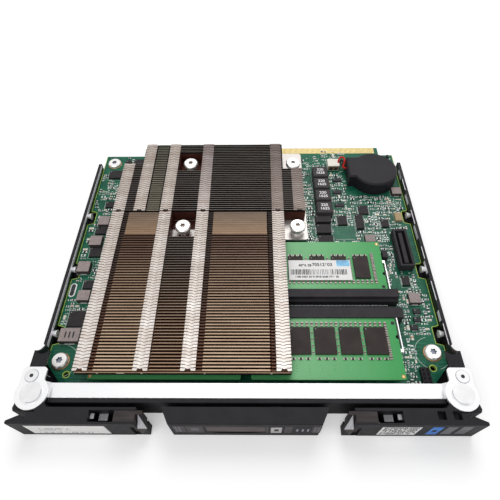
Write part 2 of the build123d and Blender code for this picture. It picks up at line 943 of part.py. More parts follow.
# Main board: notched sides, cut front corners, tooling holes and the edge tab
with BuildPart() as main_board:
    with BuildSketch(Plane.XY.offset(board_bottom)):
        with Locations((0, (board_y_front + board_y_rear) / 2)):
            Rectangle(2 * board_half_width, board_y_rear - board_y_front)
        for side in (-1, 1):
            with BuildLine():
                Polyline(
                    (side * board_half_width, board_y_front),
                    (side * (board_half_width - board_corner_x), board_y_front),
                    (side * board_half_width, board_y_front + board_corner_y),
                    close=True,
                )
            make_face(mode=Mode.SUBTRACT)
            for y in rail_rivet_y_places:
                with Locations((side * board_half_width, y)):
                    RectangleRounded(
                        2 * notch_depth, notch_length, corner_radius, mode=Mode.SUBTRACT
                    )
        with Locations(((tab_left_x + tab_right_x) / 2, (board_y_rear + rear_y) / 2)):
            Rectangle(tab_right_x - tab_left_x, rear_y - board_y_rear)
        for x, y in on_board(tooling_hole_shares):
            with Locations((x, y)):
                Circle(tooling_hole_radius, mode=Mode.SUBTRACT)
        for x, y in board_screw_places:
            with Locations((x, y)):
                Circle(screw_radius, mode=Mode.SUBTRACT)
        with Locations(*sink_screw_places):
            Circle(sink_shaft_radius, mode=Mode.SUBTRACT)
    extrude(amount=board_sheet)
    chamfer(
        main_board.edges().filter_by(Axis.X).group_by(Axis.Y)[-1], board_sheet / 4
    )
main_board.part.label = "main_board"
export_step(main_board.part, "parts/main_board.step")

# Gold contacts on both faces of the edge tab
with BuildPart() as edge_contacts:
    count = int((tab_right_x - tab_left_x - 2 * finger_width) / finger_pitch)
    centre = (tab_left_x + tab_right_x) / 2
    finger_y = rear_y - finger_setback - finger_length / 2
    for z in (board_top + finger_sheet / 2, board_bottom - finger_sheet / 2):
        with Locations((centre, finger_y, z)):
            with GridLocations(finger_pitch, finger_pitch, count, 1):
                Box(finger_width, finger_length, finger_sheet)
edge_contacts.part.label = "edge_contacts"
export_step(edge_contacts.part, "parts/edge_contacts.step")

# Six sided standoffs under the board, hollow where a screw goes in
with BuildPart() as standoffs:
    with BuildSketch(Plane.XY.offset(floor_sheet)):
        with Locations(*board_screw_places, *on_board(standoff_shares)):
            RegularPolygon(standoff_radius, 6)
    extrude(amount=board_bottom - floor_sheet)
    for x, y in board_screw_places:
        round_bar(x, y, (floor_sheet, board_bottom), screw_radius, Mode.SUBTRACT)
standoffs.part.label = "standoffs"
export_step(standoffs.part, "parts/standoffs.step")

# Board screws
with BuildPart() as board_screws:
    for x, y in board_screw_places:
        head_top = board_top + screw_head
        round_bar(x, y, (floor_sheet, board_top), screw_radius)
        round_bar(x, y, (board_top, head_top), screw_head_radius)
    chamfer(
        board_screws.edges().filter_by(GeomType.CIRCLE).group_by(Axis.Z)[-1], screw_head / 4
    )
    with BuildSketch(Plane.XY.offset(board_top + screw_head)):
        with Locations(*board_screw_places):
            RegularPolygon(screw_socket_radius, 6)
    extrude(amount=-screw_socket_depth, mode=Mode.SUBTRACT)
board_screws.part.label = "board_screws"
export_step(board_screws.part, "parts/board_screws.step")

# Processors, with a lid each, and the pads between the lids and the heatsink
with BuildPart() as processors:
    for x, y in soc_places:
        with Locations((x, y, board_top + (soc_height - soc_lid_height) / 2)):
            Box(soc_width, soc_width, soc_height - soc_lid_height)
        with Locations((x, y, board_top + soc_height - soc_lid_height / 2)):
            Box(soc_width - 2 * soc_lid_inset, soc_width - 2 * soc_lid_inset, soc_lid_height)
processors.part.label = "processors"
export_step(processors.part, "parts/processors.step")
with BuildPart() as thermal_pads:
    for x, y in soc_places:
        with Locations((x, y, (board_top + soc_height + base_bottom) / 2)):
            Box(
                soc_width - 3 * soc_lid_inset,
                soc_width - 3 * soc_lid_inset,
                base_bottom - board_top - soc_height,
            )
thermal_pads.part.label = "thermal_pads"
export_step(thermal_pads.part, "parts/thermal_pads.step")

# Heatsink base: a thick low plate over the processors that steps up to a shelf over the
# left memory modules
with BuildPart() as heatsink_base:
    block((sink_left_x, base_right_x), (step_y, sink_rear_y), (base_bottom, base_top))
    block(
        (sink_right_x + running_gap, base_right_x + cut_over),
        (step_y - cut_over, step_y + base_tab_setback),
        (base_bottom - cut_over, base_top + cut_over),
        Mode.SUBTRACT,
    )
    block(
        (sink_left_x - cut_over, rear_left_notch_x - running_gap),
        (rear_left_notch_y + running_gap, sink_rear_y + cut_over),
        (base_bottom - cut_over, base_top + cut_over),
        Mode.SUBTRACT,
    )
    fillet(
        heatsink_base.edges().filter_by(Axis.Z).group_by(Axis.X)[-1], corner_radius
    )
    block(
        (sink_left_x, sink_right_x), (step_y, step_y + shelf_sheet), (base_bottom, shelf_top)
    )
    block(
        (sink_left_x, sink_right_x),
        (sink_front_y, step_y + shelf_sheet),
        (shelf_bottom, shelf_top),
    )
    for x, y in sink_screw_places:
        round_bar(
            x, y, (base_bottom - cut_over, base_top + cut_over), sink_shaft_radius + seat_gap,
            Mode.SUBTRACT,
        )
heatsink_base.part.label = "heatsink_base"
export_step(heatsink_base.part, "parts/heatsink_base.step")


def fins(low_y, high_y, low_x, high_x, bottom):
    """A comb of thin fins across the sled, on one foot sheet."""
    count = int((high_y - low_y - fin_sheet) / fin_pitch) + 1
    with BuildSketch(Plane.YZ.offset(low_x)) as comb:
        with Locations(((low_y + high_y) / 2, bottom + foot_sheet / 2)):
            Rectangle(high_y - low_y, foot_sheet)
        with Locations(((low_y + high_y) / 2, (bottom + fin_top) / 2)):
            with GridLocations(fin_pitch, fin_pitch, count, 1):
                Rectangle(fin_sheet, fin_top - bottom)
    extrude(comb.sketch, amount=high_x - low_x)


def strip(x, low_y, high_y, arch_y):
    """A row of interlocked fin tabs, seen as one strip, with the arch of its last tab."""
    block(
        (x - strip_width / 2, x + strip_width / 2), (low_y, high_y),
        (fin_top + strip_gap, fin_top + strip_sheet),
    )
    round_bar(
        x, arch_y, (fin_top + strip_gap, fin_top + strip_sheet), arch_radius, Mode.SUBTRACT
    )


# Front fin stack: low fins on the shelf, tall ones behind the step, round a screw pocket
front_high_y = sink_split_y - split_gap / 2
tall_low_y = step_y + shelf_sheet + seat_gap
with BuildPart() as front_fin_stack:
    fins(sink_front_y, step_y + shelf_sheet, sink_left_x, sink_right_x, shelf_top)
    fins(tall_low_y, front_high_y, sink_left_x, sink_right_x, base_top)
    block(
        screw_pocket_x,
        (step_y - running_gap, front_high_y + cut_over),
        (base_bottom, fin_top + cut_over),
        Mode.SUBTRACT,
    )
    for x in strip_places:
        strip(x, sink_front_y, front_high_y, sink_front_y)
    for low_share, high_share in zone_x_shares:
        block(
            (-low_share * sink_left_x, -high_share * sink_left_x),
            (front_high_y - zone_depth, front_high_y),
            (fin_top - foot_sheet, fin_top),
        )
front_fin_stack.part.label = "front_fin_stack"
export_step(front_fin_stack.part, "parts/front_fin_stack.step")

# Rear fin stack: tall fins, cut away at its two rear corners and round the rear screw
rear_low_y = sink_split_y + split_gap / 2
with BuildPart() as rear_fin_stack:
    fins(rear_low_y, sink_rear_y, sink_left_x, sink_rear_right_x, base_top)
    pocket_z = (base_bottom, fin_top + cut_over)
    rear_screw_y = sink_screw_y_places[-1]
    rear_pocket_y = (rear_screw_y - pocket_front_room, rear_screw_y + pocket_rear_room)
    block(screw_pocket_x, rear_pocket_y, pocket_z, Mode.SUBTRACT)
    block(
        (sink_left_x - cut_over, rear_left_notch_x),
        (rear_left_notch_y, sink_rear_y + cut_over),
        pocket_z,
        Mode.SUBTRACT,
    )
    block(
        (rear_right_notch_x, sink_rear_right_x + cut_over),
        (rear_right_notch_y, sink_rear_y + cut_over),
        pocket_z,
        Mode.SUBTRACT,
    )
    for x in strip_places + rear_only_strip_places:
        high_y = sink_rear_y
        if x < rear_left_notch_x:
            high_y = rear_left_notch_y
        if x > rear_right_notch_x:
            high_y = rear_right_notch_y
        strip(x, rear_low_y, high_y, rear_low_y)
rear_fin_stack.part.label = "rear_fin_stack"
export_step(rear_fin_stack.part, "parts/rear_fin_stack.step")

# Heatsink screws: shouldered, with a wide head that leaves room for a spring
with BuildPart() as heatsink_screws:
    for x, y in sink_screw_places:
        round_bar(x, y, (board_bottom, sink_screw_top - sink_screw_head), sink_shaft_radius)
        round_bar(
            x, y, (sink_screw_top - sink_screw_head, sink_screw_top), sink_screw_head_radius
        )
    chamfer(
        heatsink_screws.edges().filter_by(GeomType.CIRCLE).group_by(Axis.Z)[-1],
        sink_screw_head / 4,
    )
    with BuildSketch(Plane.XY.offset(sink_screw_top)):
        with Locations(*sink_screw_places):
            RegularPolygon(screw_socket_radius, 6)
    extrude(amount=-screw_socket_depth, mode=Mode.SUBTRACT)
heatsink_screws.part.label = "heatsink_screws"
export_step(heatsink_screws.part, "parts/heatsink_screws.step")

# Memory: two sockets back to back on each half of the board, one module in each
rows = {
    "rear": (rear_socket_low_y, rear_socket_high_y, 1, rear_chip_width, rear_chip_pitch),
    "front": (front_socket_low_y, front_socket_high_y, -1, front_chip_width, front_chip_pitch),
}
for row_name, (low_y, high_y, facing, chip_width, chip_pitch) in rows.items():
    mouth_y = high_y if facing > 0 else low_y
    inner_y = mouth_y - facing * module_seat
    far_y = inner_y + facing * module_depth
    chip_reach = chip_rear_reach if facing > 0 else chip_front_reach
    chip_y = far_y - facing * chip_reach
    for side_name, side in (("left", -1), ("right", 1)):
        centre_x = side * module_centre_x
        # Socket: a bar with a slot for the module and a stepped back
        with BuildPart() as socket:
            block(
                sorted((side * socket_inner_x, side * socket_outer_x)),
                (low_y, high_y),
                (board_top, socket_top),
            )
            block(
                (centre_x - module_half - seat_gap, centre_x + module_half + seat_gap),
                sorted((mouth_y + facing * cut_over, inner_y - facing * seat_gap)),
                (module_bottom - seat_gap, module_bottom + module_sheet + seat_gap),
                Mode.SUBTRACT,
            )
            back_y = low_y if facing > 0 else high_y
            block(
                (-socket_outer_x - cut_over, socket_outer_x + cut_over),
                sorted((back_y - facing * cut_over, back_y + facing * socket_step)),
                (socket_top - socket_shoulder, socket_top + cut_over),
                Mode.SUBTRACT,
            )
            for arm_x in (module_outer_x, module_inner_x):
                out = 1 if arm_x == module_outer_x else -1
                block(
                    sorted((side * arm_x, side * (arm_x + out * arm_room))),
                    sorted((mouth_y + facing * cut_over, mouth_y - facing * arm_root)),
                    (arm_bottom - seat_gap, arm_bottom + arm_height + seat_gap),
                    Mode.SUBTRACT,
                )
        name = f"{row_name}_{side_name}_socket"
        socket.part.label = name
        export_step(socket.part, f"parts/{name}.step")
        # Module: a green board with rounded outer corners, side notches and a key slot
        with BuildPart() as module:
            with BuildSketch(Plane.XY.offset(module_bottom)):
                with Locations((centre_x, (inner_y + far_y) / 2)):
                    RectangleRounded(module_width, module_depth, module_corner)
                with Locations(
                    *[
                        (x, inner_y + facing * module_side_notch_reach)
                        for x in (centre_x - module_half, centre_x + module_half)
                    ]
                ):
                    Circle(module_side_notch, mode=Mode.SUBTRACT)
                with Locations((centre_x + module_key_x, inner_y)):
                    Rectangle(
                        module_key_width, 2 * module_seat, mode=Mode.SUBTRACT
                    )
            extrude(amount=module_sheet)
            with Locations((centre_x, chip_y, module_bottom + module_sheet)):
                with GridLocations(chip_pitch, chip_depth, chip_count, 1):
                    Box(
                        chip_width,
                        chip_depth,
                        memory_chip_height,
                        align=(Align.CENTER, Align.CENTER, Align.MIN),
                    )
        name = f"{row_name}_{side_name}_memory_module"
        module.part.label = name
        export_step(module.part, f"parts/{name}.step")
        # Spring arms of the socket, one at each side of the module
        for arm_name, arm_x, out in (
            ("outer", module_outer_x, 1),
            ("inner", module_inner_x, -1),
        ):
            near_x = arm_x + out * arm_gap
            arm_far_y = mouth_y + facing * arm_length
            with BuildPart() as arm:
                arm_pin_y = mouth_y - facing * arm_root / 2
                round_bar(
                    side * (near_x + out * arm_sheet / 2),
                    arm_pin_y,
                    (arm_bottom, arm_bottom + arm_height),
                    arm_pin_radius,
                )
                block(
                    sorted((side * near_x, side * (near_x + out * arm_sheet))),
                    sorted((arm_pin_y, arm_far_y)),
                    (arm_bottom, arm_bottom + arm_height),
                )
                block(
                    sorted((side * (near_x - out * arm_hook), side * near_x)),
                    sorted((arm_far_y - facing * arm_hook_length, arm_far_y)),
                    (module_bottom + module_sheet + seat_gap, arm_bottom + arm_height),
                )
            name = f"{row_name}_{side_name}_{arm_name}_arm"
            arm.part.label = name
            export_step(arm.part, f"parts/{name}.step")

# Backup battery in its sleeve: a disc with a flat side for the leads
with BuildPart() as battery:
    with BuildSketch(Plane.XY.offset(board_top)):
        with Locations((battery_x, battery_y)):
            Circle(battery_radius)
        with Locations((battery_x - battery_tail / 2, battery_y + battery_tail_offset)):
            Rectangle(battery_tail, 2 * battery_tail_half)
    extrude(amount=battery_height)
    chamfer(battery.edges().group_by(Axis.Z)[-1], battery_rim)
battery.part.label = "battery"
export_step(battery.part, "parts/battery.step")

# Plug of the battery leads on the board
plug_x = (plug_low_x, plug_high_x)
with BuildPart() as battery_plug:
    block(
        plug_x,
        (plug_y - plug_depth / 2, plug_y + plug_depth / 2),
        (board_top, board_top + plug_height),
    )
    chamfer(battery_plug.edges().filter_by(Axis.Z), seat_gap * 4)
battery_plug.part.label = "battery_plug"
export_step(battery_plug.part, "parts/battery_plug.step")

# The two leads, each one arc from the plug up to the battery's flat side
tail_x = battery_x - battery_tail
for name, offset, rise_share in zip(("red_lead", "black_lead"), (1, -1), lead_rise_shares):
    lead_y = plug_y + offset * lead_pitch / 2
    start = (plug_high_x, lead_y, lead_bottom)
    with BuildPart() as lead:
        with BuildLine() as route:
            ThreePointArc(
                start,
                (
                    (plug_high_x + tail_x) / 2,
                    lead_y - lead_pitch,
                    lead_bottom + rise_share * lead_pitch,
                ),
                (tail_x, lead_y - 2 * lead_pitch, lead_bottom + lead_radius),
            )
        with BuildSketch(Plane(start, z_dir=route.wires()[0] % 0)):
            Circle(lead_radius)
        sweep()
    lead.part.label = name
    export_step(lead.part, f"parts/{name}.step")

# Card connector with a slotted tongue in an open box
with BuildPart() as card_connector:
    connector_x = (mezzanine_x - mezzanine_width / 2, mezzanine_x + mezzanine_width / 2)
    connector_y = (mezzanine_y - mezzanine_length / 2, mezzanine_y + mezzanine_length / 2)
    connector_top = board_top + mezzanine_height
    block(connector_x, connector_y, (board_top, connector_top))
    block(
        (connector_x[0] + mezzanine_wall, connector_x[1] - mezzanine_wall),
        (connector_y[0] + mezzanine_wall, connector_y[1] - mezzanine_wall),
        (board_top + mezzanine_wall, connector_top + cut_over),
        Mode.SUBTRACT,
    )
    block(
        (mezzanine_x - mezzanine_tongue / 2, mezzanine_x + mezzanine_tongue / 2),
        (connector_y[0] + 2 * mezzanine_wall, connector_y[1] - 2 * mezzanine_wall),
        (board_top, connector_top - mezzanine_wall / 2),
    )
card_connector.part.label = "card_connector"
export_step(card_connector.part, "parts/card_connector.step")

# Two row pin header at the front of the board
with BuildPart() as pin_header:
    block(
        (header_x - header_pitch, header_x + header_pitch),
        (header_y - header_rows * header_pitch / 2, header_y + header_rows * header_pitch / 2),
        (board_top, board_top + header_height),
    )
    with Locations((header_x, header_y, board_top + header_pin_height / 2)):
        with GridLocations(header_pitch, header_pitch, 2, header_rows):
            Box(header_pin, header_pin, header_pin_height)
pin_header.part.label = "pin_header"
export_step(pin_header.part, "parts/pin_header.step")

# Power inductors beside the heatsink
with BuildPart() as inductors:
    for index in range(coil_count):
        y = coil_y - index * coil_pitch
        block(
            (coil_x - coil_width / 2, coil_x + coil_width / 2),
            (y - coil_depth / 2, y + coil_depth / 2),
            (board_top, board_top + coil_height),
        )
    chamfer(inductors.edges().group_by(Axis.Z)[-1], coil_edge)
inductors.part.label = "inductors"
export_step(inductors.part, "parts/inductors.step")

# Chips on the main board: places as shares of the board, then shares of the chip sizes for
# width, depth and height
chip_shares = {
    "large_chips": [
        (-0.903, -0.412, 0.84, 0.84, 0.40),
        (-0.762, 0.829, 0.58, 0.52, 0.73),
        (-0.833, 0.832, 0.36, 0.34, 0.67),
        (0.686, 0.277, 0.42, 1.02, 0.60),
    ],
    "small_chips": [
        (0.581, 0.291, 0.54, 0.66, 0.40),
        (0.723, 0.380, 0.55, 0.62, 0.40),
        (0.840, 0.265, 0.42, 0.52, 0.40),
        (0.883, -0.166, 0.36, 0.56, 0.40),
        (-0.904, 0.717, 0.76, 0.64, 0.47),
        (-0.902, 0.209, 0.60, 0.43, 0.40),
        (-0.901, 0.043, 0.60, 0.62, 0.40),
        (-0.890, -0.191, 0.52, 0.49, 0.40),
        (-0.885, 0.435, 0.56, 0.44, 0.40),
    ],
    "small_inductors": [
        (-0.890, 0.278, 0.62, 0.62, 1.00),
        (-0.908, 0.117, 0.66, 0.64, 1.00),
        (-0.936, -0.078, 0.64, 0.64, 1.00),
        (-0.893, -0.274, 0.62, 0.58, 1.00),
        (-0.910, -0.517, 0.96, 0.68, 1.00),
        (0.728, 0.137, 0.54, 0.50, 0.67),
        (0.902, -0.288, 0.56, 0.56, 0.80),
    ],
}
# Parts beside a larger one: places as shares of its sizes, from its middle
beside_shares = {
    "large_chips": [
        (-0.14, -0.73, 0.88, 0.50, 1.00),
        (-0.14, -1.42, 0.80, 0.60, 0.73),
        (-0.09, -2.20, 0.80, 0.52, 0.73),
    ],
    "small_inductors": [(0.91, -0.92, 0.56, 0.52, 0.80)],
}
beside = {
    "large_chips": (coil_x, coil_end_y, coil_width, coil_pitch),
    "small_inductors": (battery_x, battery_y, battery_radius, battery_radius),
}
for name, rows_of_shares in chip_shares.items():
    placed = [
        (x * board_half_width, y * rear_y, *sizes) for x, y, *sizes in rows_of_shares
    ]
    if name in beside:
        middle_x, middle_y, unit_x, unit_y = beside[name]
        placed += [
            (middle_x + x * unit_x, middle_y + y * unit_y, *sizes)
            for x, y, *sizes in beside_shares[name]
        ]
    with BuildPart() as chips:
        for x, y, width, depth, height in placed:
            with Locations((x, y, board_top)):
                Box(
                    width * chip_side,
                    depth * chip_side,
                    height * chip_height,
                    align=(Align.CENTER, Align.CENTER, Align.MIN),
                )
    chips.part.label = name
    export_step(chips.part, f"parts/{name}.step")
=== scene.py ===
import math
import random

import bmesh
import bpy
from mathutils import Matrix, Vector


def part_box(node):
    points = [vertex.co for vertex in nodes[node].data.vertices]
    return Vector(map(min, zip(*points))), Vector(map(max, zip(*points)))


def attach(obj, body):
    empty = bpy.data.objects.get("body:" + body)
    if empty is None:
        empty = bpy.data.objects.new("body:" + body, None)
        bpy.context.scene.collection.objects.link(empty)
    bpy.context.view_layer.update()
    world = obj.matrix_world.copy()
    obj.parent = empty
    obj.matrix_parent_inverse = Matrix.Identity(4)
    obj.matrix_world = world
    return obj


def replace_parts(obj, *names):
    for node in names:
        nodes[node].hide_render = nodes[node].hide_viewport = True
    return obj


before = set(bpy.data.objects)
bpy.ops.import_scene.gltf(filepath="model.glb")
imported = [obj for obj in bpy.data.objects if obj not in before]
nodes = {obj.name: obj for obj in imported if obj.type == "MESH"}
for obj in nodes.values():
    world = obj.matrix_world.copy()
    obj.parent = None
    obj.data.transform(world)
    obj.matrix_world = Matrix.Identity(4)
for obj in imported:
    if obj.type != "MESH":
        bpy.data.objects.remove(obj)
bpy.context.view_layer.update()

# The looks of a multi node server sled: finned heatsink, dressed main board, memory, levers.
# Sizes below are millimetres in the sled's own frame and become metres in Shapes.piece().
MM = 0.001
SLED = "sled"


# Reading the frame


def node_box(node):
    """Low and high corner of a CAD node, in millimetres."""
    low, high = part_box(node)
    return [value / MM for value in low], [value / MM for value in high]


def solids(node):
    """Low and high corners of a node's separate solids, in millimetres, sorted."""
    shape = bmesh.new()
    shape.from_mesh(nodes[node].data)
    bmesh.ops.remove_doubles(shape, verts=shape.verts, dist=1e-6)
    left = set(shape.verts)
    boxes = []
    while left:
        queue = [left.pop()]
        found = list(queue)
        while queue:
            for edge in queue.pop().link_edges:
                for vert in edge.verts:
                    if vert in left:
                        left.discard(vert)
                        queue.append(vert)
                        found.append(vert)
        low = [min(vert.co[axis] for vert in found) / MM for axis in range(3)]
        high = [max(vert.co[axis] for vert in found) / MM for axis in range(3)]
        boxes.append((low, high))
    shape.free()
    return sorted(boxes)


def middle(box):
    return [(low + high) / 2 for low, high in zip(*box)]


# Materials


def new_material(name):
    made = bpy.data.materials.new(name)
    made.use_nodes = True
    tree = made.node_tree
    return made, tree, tree.nodes["Principled BSDF"]


def coordinates(tree, stretch=(1, 1, 1)):
    """Object coordinates, stretched along an axis for a brushed grain."""
    source = tree.nodes.new("ShaderNodeTexCoord")
    mapping = tree.nodes.new("ShaderNodeMapping")
    mapping.inputs["Scale"].default_value = stretch
    tree.links.new(source.outputs["Object"], mapping.inputs["Vector"])
    return mapping.outputs["Vector"]


def noise(tree, vector, scale, detail=3.0):
    made = tree.nodes.new("ShaderNodeTexNoise")
    made.inputs["Scale"].default_value = scale
    made.inputs["Detail"].default_value = detail
    tree.links.new(vector, made.inputs["Vector"])
    return made.outputs["Fac"]


def ramp(tree, value, *stops):
    """A colour ramp from (position, colour) stops."""
    made = tree.nodes.new("ShaderNodeValToRGB")
    elements = made.color_ramp.elements
    for index, (position, colour) in enumerate(stops):
        element = elements[index] if index < 2 else elements.new(position)
        element.position = position
        element.color = (*colour, 1)
    tree.links.new(value, made.inputs["Fac"])
    return made.outputs["Color"]


def feed(tree, value, slot):
    """Links a socket to a slot, or writes a plain number there."""
    if isinstance(value, (int, float)):
        slot.default_value = value
    else:
        tree.links.new(value, slot)


def calculate(tree, operation, *values):
    """A math node over sockets and plain numbers."""
    made = tree.nodes.new("ShaderNodeMath")
    made.operation = operation
    for slot, value in zip(made.inputs, values):
        feed(tree, value, slot)
    return made.outputs["Value"]


def spread(tree, value, low, high):
    """Stretches a value from zero to one over a range."""
    made = tree.nodes.new("ShaderNodeMapRange")
    made.inputs["To Min"].default_value = low
    made.inputs["To Max"].default_value = high
    tree.links.new(value, made.inputs["Value"])
    return made.outputs["Result"]


def mix(tree, factor, first, second, blend="MIX"):
    """Mixes two colours, each a socket or a plain colour."""
    made = tree.nodes.new("ShaderNodeMix")
    made.data_type = "RGBA"
    made.blend_type = blend
    for name, value in ((6, first), (7, second)):
        if isinstance(value, tuple):
            made.inputs[name].default_value = (*value, 1)
        else:
            tree.links.new(value, made.inputs[name])
    feed(tree, factor, made.inputs["Factor"])
    return made.outputs[2]


def add_bump(tree, shader, height, distance, rounding=0.0):
    """Bump from a height socket, over edges that are rounded by the bevel node."""
    made = tree.nodes.new("ShaderNodeBump")
    made.inputs["Strength"].default_value = 0.6
    made.inputs["Distance"].default_value = distance * MM
    tree.links.new(height, made.inputs["Height"])
    if rounding:
        bevel = tree.nodes.new("ShaderNodeBevel")
        bevel.samples = 4
        bevel.inputs["Radius"].default_value = rounding * MM
        tree.links.new(bevel.outputs["Normal"], made.inputs["Normal"])
    tree.links.new(made.outputs["Normal"], shader.inputs["Normal"])


def surface(
    name,
    colour,
    rough,
    metallic=0.0,
    vary=0.12,
    scale=500.0,
    stretch=(1, 1, 1),
    bump=0.02,
    bump_scale=2500.0,
    rounding=0.0,
    coat=0.0,
    specular=0.16,
    sides=None,
):
    """A finished surface: colour and gloss vary with noise, with a fine bump and soft edges."""
    made, tree, shader = new_material(name)
    vector = coordinates(tree, stretch)
    cloud = noise(tree, vector, scale)
    darker = tuple(channel * (1 - vary) for channel in colour)
    lighter = tuple(min(1.0, channel * (1 + vary)) for channel in colour)
    tone = ramp(tree, cloud, (0.3, darker), (0.7, lighter))
    if sides:
        tone = mix(tree, upright_faces(tree), tone, sides)
    tree.links.new(tone, shader.inputs["Base Color"])
    gloss = spread(tree, noise(tree, vector, scale * 2.3), rough * 0.85, min(1.0, rough * 1.2))
    tree.links.new(gloss, shader.inputs["Roughness"])
    shader.inputs["Metallic"].default_value = metallic
    shader.inputs["Coat Weight"].default_value = coat
    shader.inputs["Specular IOR Level"].default_value = specular
    add_bump(tree, shader, noise(tree, vector, bump_scale), bump, rounding)
    return made


def fin_colour(name, near, far, near_y, far_y, metallic, rough):
    """Fin metal whose tone runs from a near colour to a far one along the sled: painted light and shade,
    bright near the front and darker farther back, under a random stain.
    """
    made, tree, shader = new_material(name)
    tone = ramp(tree, run_along(tree, "Y", near_y, far_y), (0.0, near), (1.0, far))
    stain = noise(tree, coordinates(tree, (1, 4, 1)), 60.0, 4.0)
    shade = ramp(tree, stain, (0.35, (0.72, 0.66, 0.62)), (0.7, (1.0, 1.0, 1.0)))
    tree.links.new(mix(tree, 0.8, tone, shade, "MULTIPLY"), shader.inputs["Base Color"])
    shader.inputs["Metallic"].default_value = metallic
    shader.inputs["Roughness"].default_value = rough
    shader.inputs["Specular IOR Level"].default_value = 0.25
    add_bump(tree, shader, noise(tree, coordinates(tree, (1, 6, 1)), 900.0), 0.02)
    return made


def upright_faces(tree):
    """One where a face stands upright, zero where it lies flat."""
    normal = tree.nodes.new("ShaderNodeNewGeometry")
    parts = tree.nodes.new("ShaderNodeSeparateXYZ")
    tree.links.new(normal.outputs["True Normal"], parts.inputs["Vector"])
    return calculate(tree, "LESS_THAN", calculate(tree, "ABSOLUTE", parts.outputs["Z"]), 0.5)


def run_along(tree, axis, low, high):
    """Runs from zero to one between two places along an axis of the sled."""
    source = tree.nodes.new("ShaderNodeTexCoord")
    parts = tree.nodes.new("ShaderNodeSeparateXYZ")
    tree.links.new(source.outputs["Object"], parts.inputs["Vector"])
    along = tree.nodes.new("ShaderNodeMapRange")
    along.inputs["From Min"].default_value = low * MM
    along.inputs["From Max"].default_value = high * MM
    tree.links.new(parts.outputs[axis], along.inputs["Value"])
    return along.outputs["Result"]


def board_colour(name, deep, light, trace, edge, scale):
    """Solder mask over faint square traces, with bare glass laminate on the cut edges."""
    made, tree, shader = new_material(name)
    vector = coordinates(tree)
    base = ramp(tree, noise(tree, vector, 60.0), (0.35, deep), (0.7, light))
    for index, size in enumerate((scale, scale * 1.9)):
        brick = tree.nodes.new("ShaderNodeTexBrick")
        brick.inputs["Scale"].default_value = size
        brick.inputs["Mortar Size"].default_value = 0.03
        brick.inputs["Mortar Smooth"].default_value = 0.3
        brick.inputs["Brick Width"].default_value = 0.9 - 0.5 * index
        brick.inputs["Row Height"].default_value = 0.3 + 0.25 * index
        for name, level in (("Color1", 0), ("Color2", 0), ("Mortar", 1)):
            brick.inputs[name].default_value = (level, level, level, 1)
        tree.links.new(vector, brick.inputs["Vector"])
        patch = ramp(tree, noise(tree, vector, 140.0 + 60 * index), (0.45, (0, 0, 0)), (0.6, (1, 1, 1)))
        gate = calculate(tree, "MULTIPLY", brick.outputs["Color"], patch)
        base = mix(tree, gate, base, trace)
    tree.links.new(mix(tree, upright_faces(tree), base, edge), shader.inputs["Base Color"])
    shader.inputs["Roughness"].default_value = 0.30
    shader.inputs["Specular IOR Level"].default_value = 0.2
    add_bump(tree, shader, noise(tree, vector, 1200.0), 0.01)
    return made


def module_colour(name, inner, pale, deep, edge):
    """Bright solder mask with painted light and shade: in painted shade under the heatsink, palest in
    painted light just beside it, and deeper towards both ends.
    """
    made, tree, shader = new_material(name)
    tone = ramp(tree, run_along(tree, "X", 0, 74), (0.0, inner), (0.24, inner), (0.30, pale), (1.0, deep))
    cloud = ramp(tree, noise(tree, coordinates(tree), 45.0), (0.3, (0.90, 0.90, 0.90)), (0.7, (1, 1, 1)))
    mask = mix(tree, 1.0, tone, cloud, "MULTIPLY")
    tree.links.new(mix(tree, upright_faces(tree), mask, edge), shader.inputs["Base Color"])
    shader.inputs["Roughness"].default_value = 0.30
    shader.inputs["Specular IOR Level"].default_value = 0.2
    add_bump(tree, shader, noise(tree, coordinates(tree), 1500.0), 0.01)
    return made


def base_colour(name, plate, shelf, level):
    """Nickel on the heatsink's low plate, and near black painted shade on the shelf above a level."""
    made, tree, shader = new_material(name)
    grain = noise(tree, coordinates(tree, (1, 14, 1)), 220.0)
    shine = ramp(tree, grain, (0.3, tuple(0.9 * part for part in plate)), (0.7, plate))
    step = calculate(tree, "ROUND", run_along(tree, "Z", level - 0.4, level + 0.4))
    tree.links.new(mix(tree, step, shine, shelf), shader.inputs["Base Color"])
    shader.inputs["Metallic"].default_value = 0.55
    shader.inputs["Roughness"].default_value = 0.36
    shader.inputs["Specular IOR Level"].default_value = 0.2
    add_bump(tree, shader, grain, 0.01, 0.15)
    return made


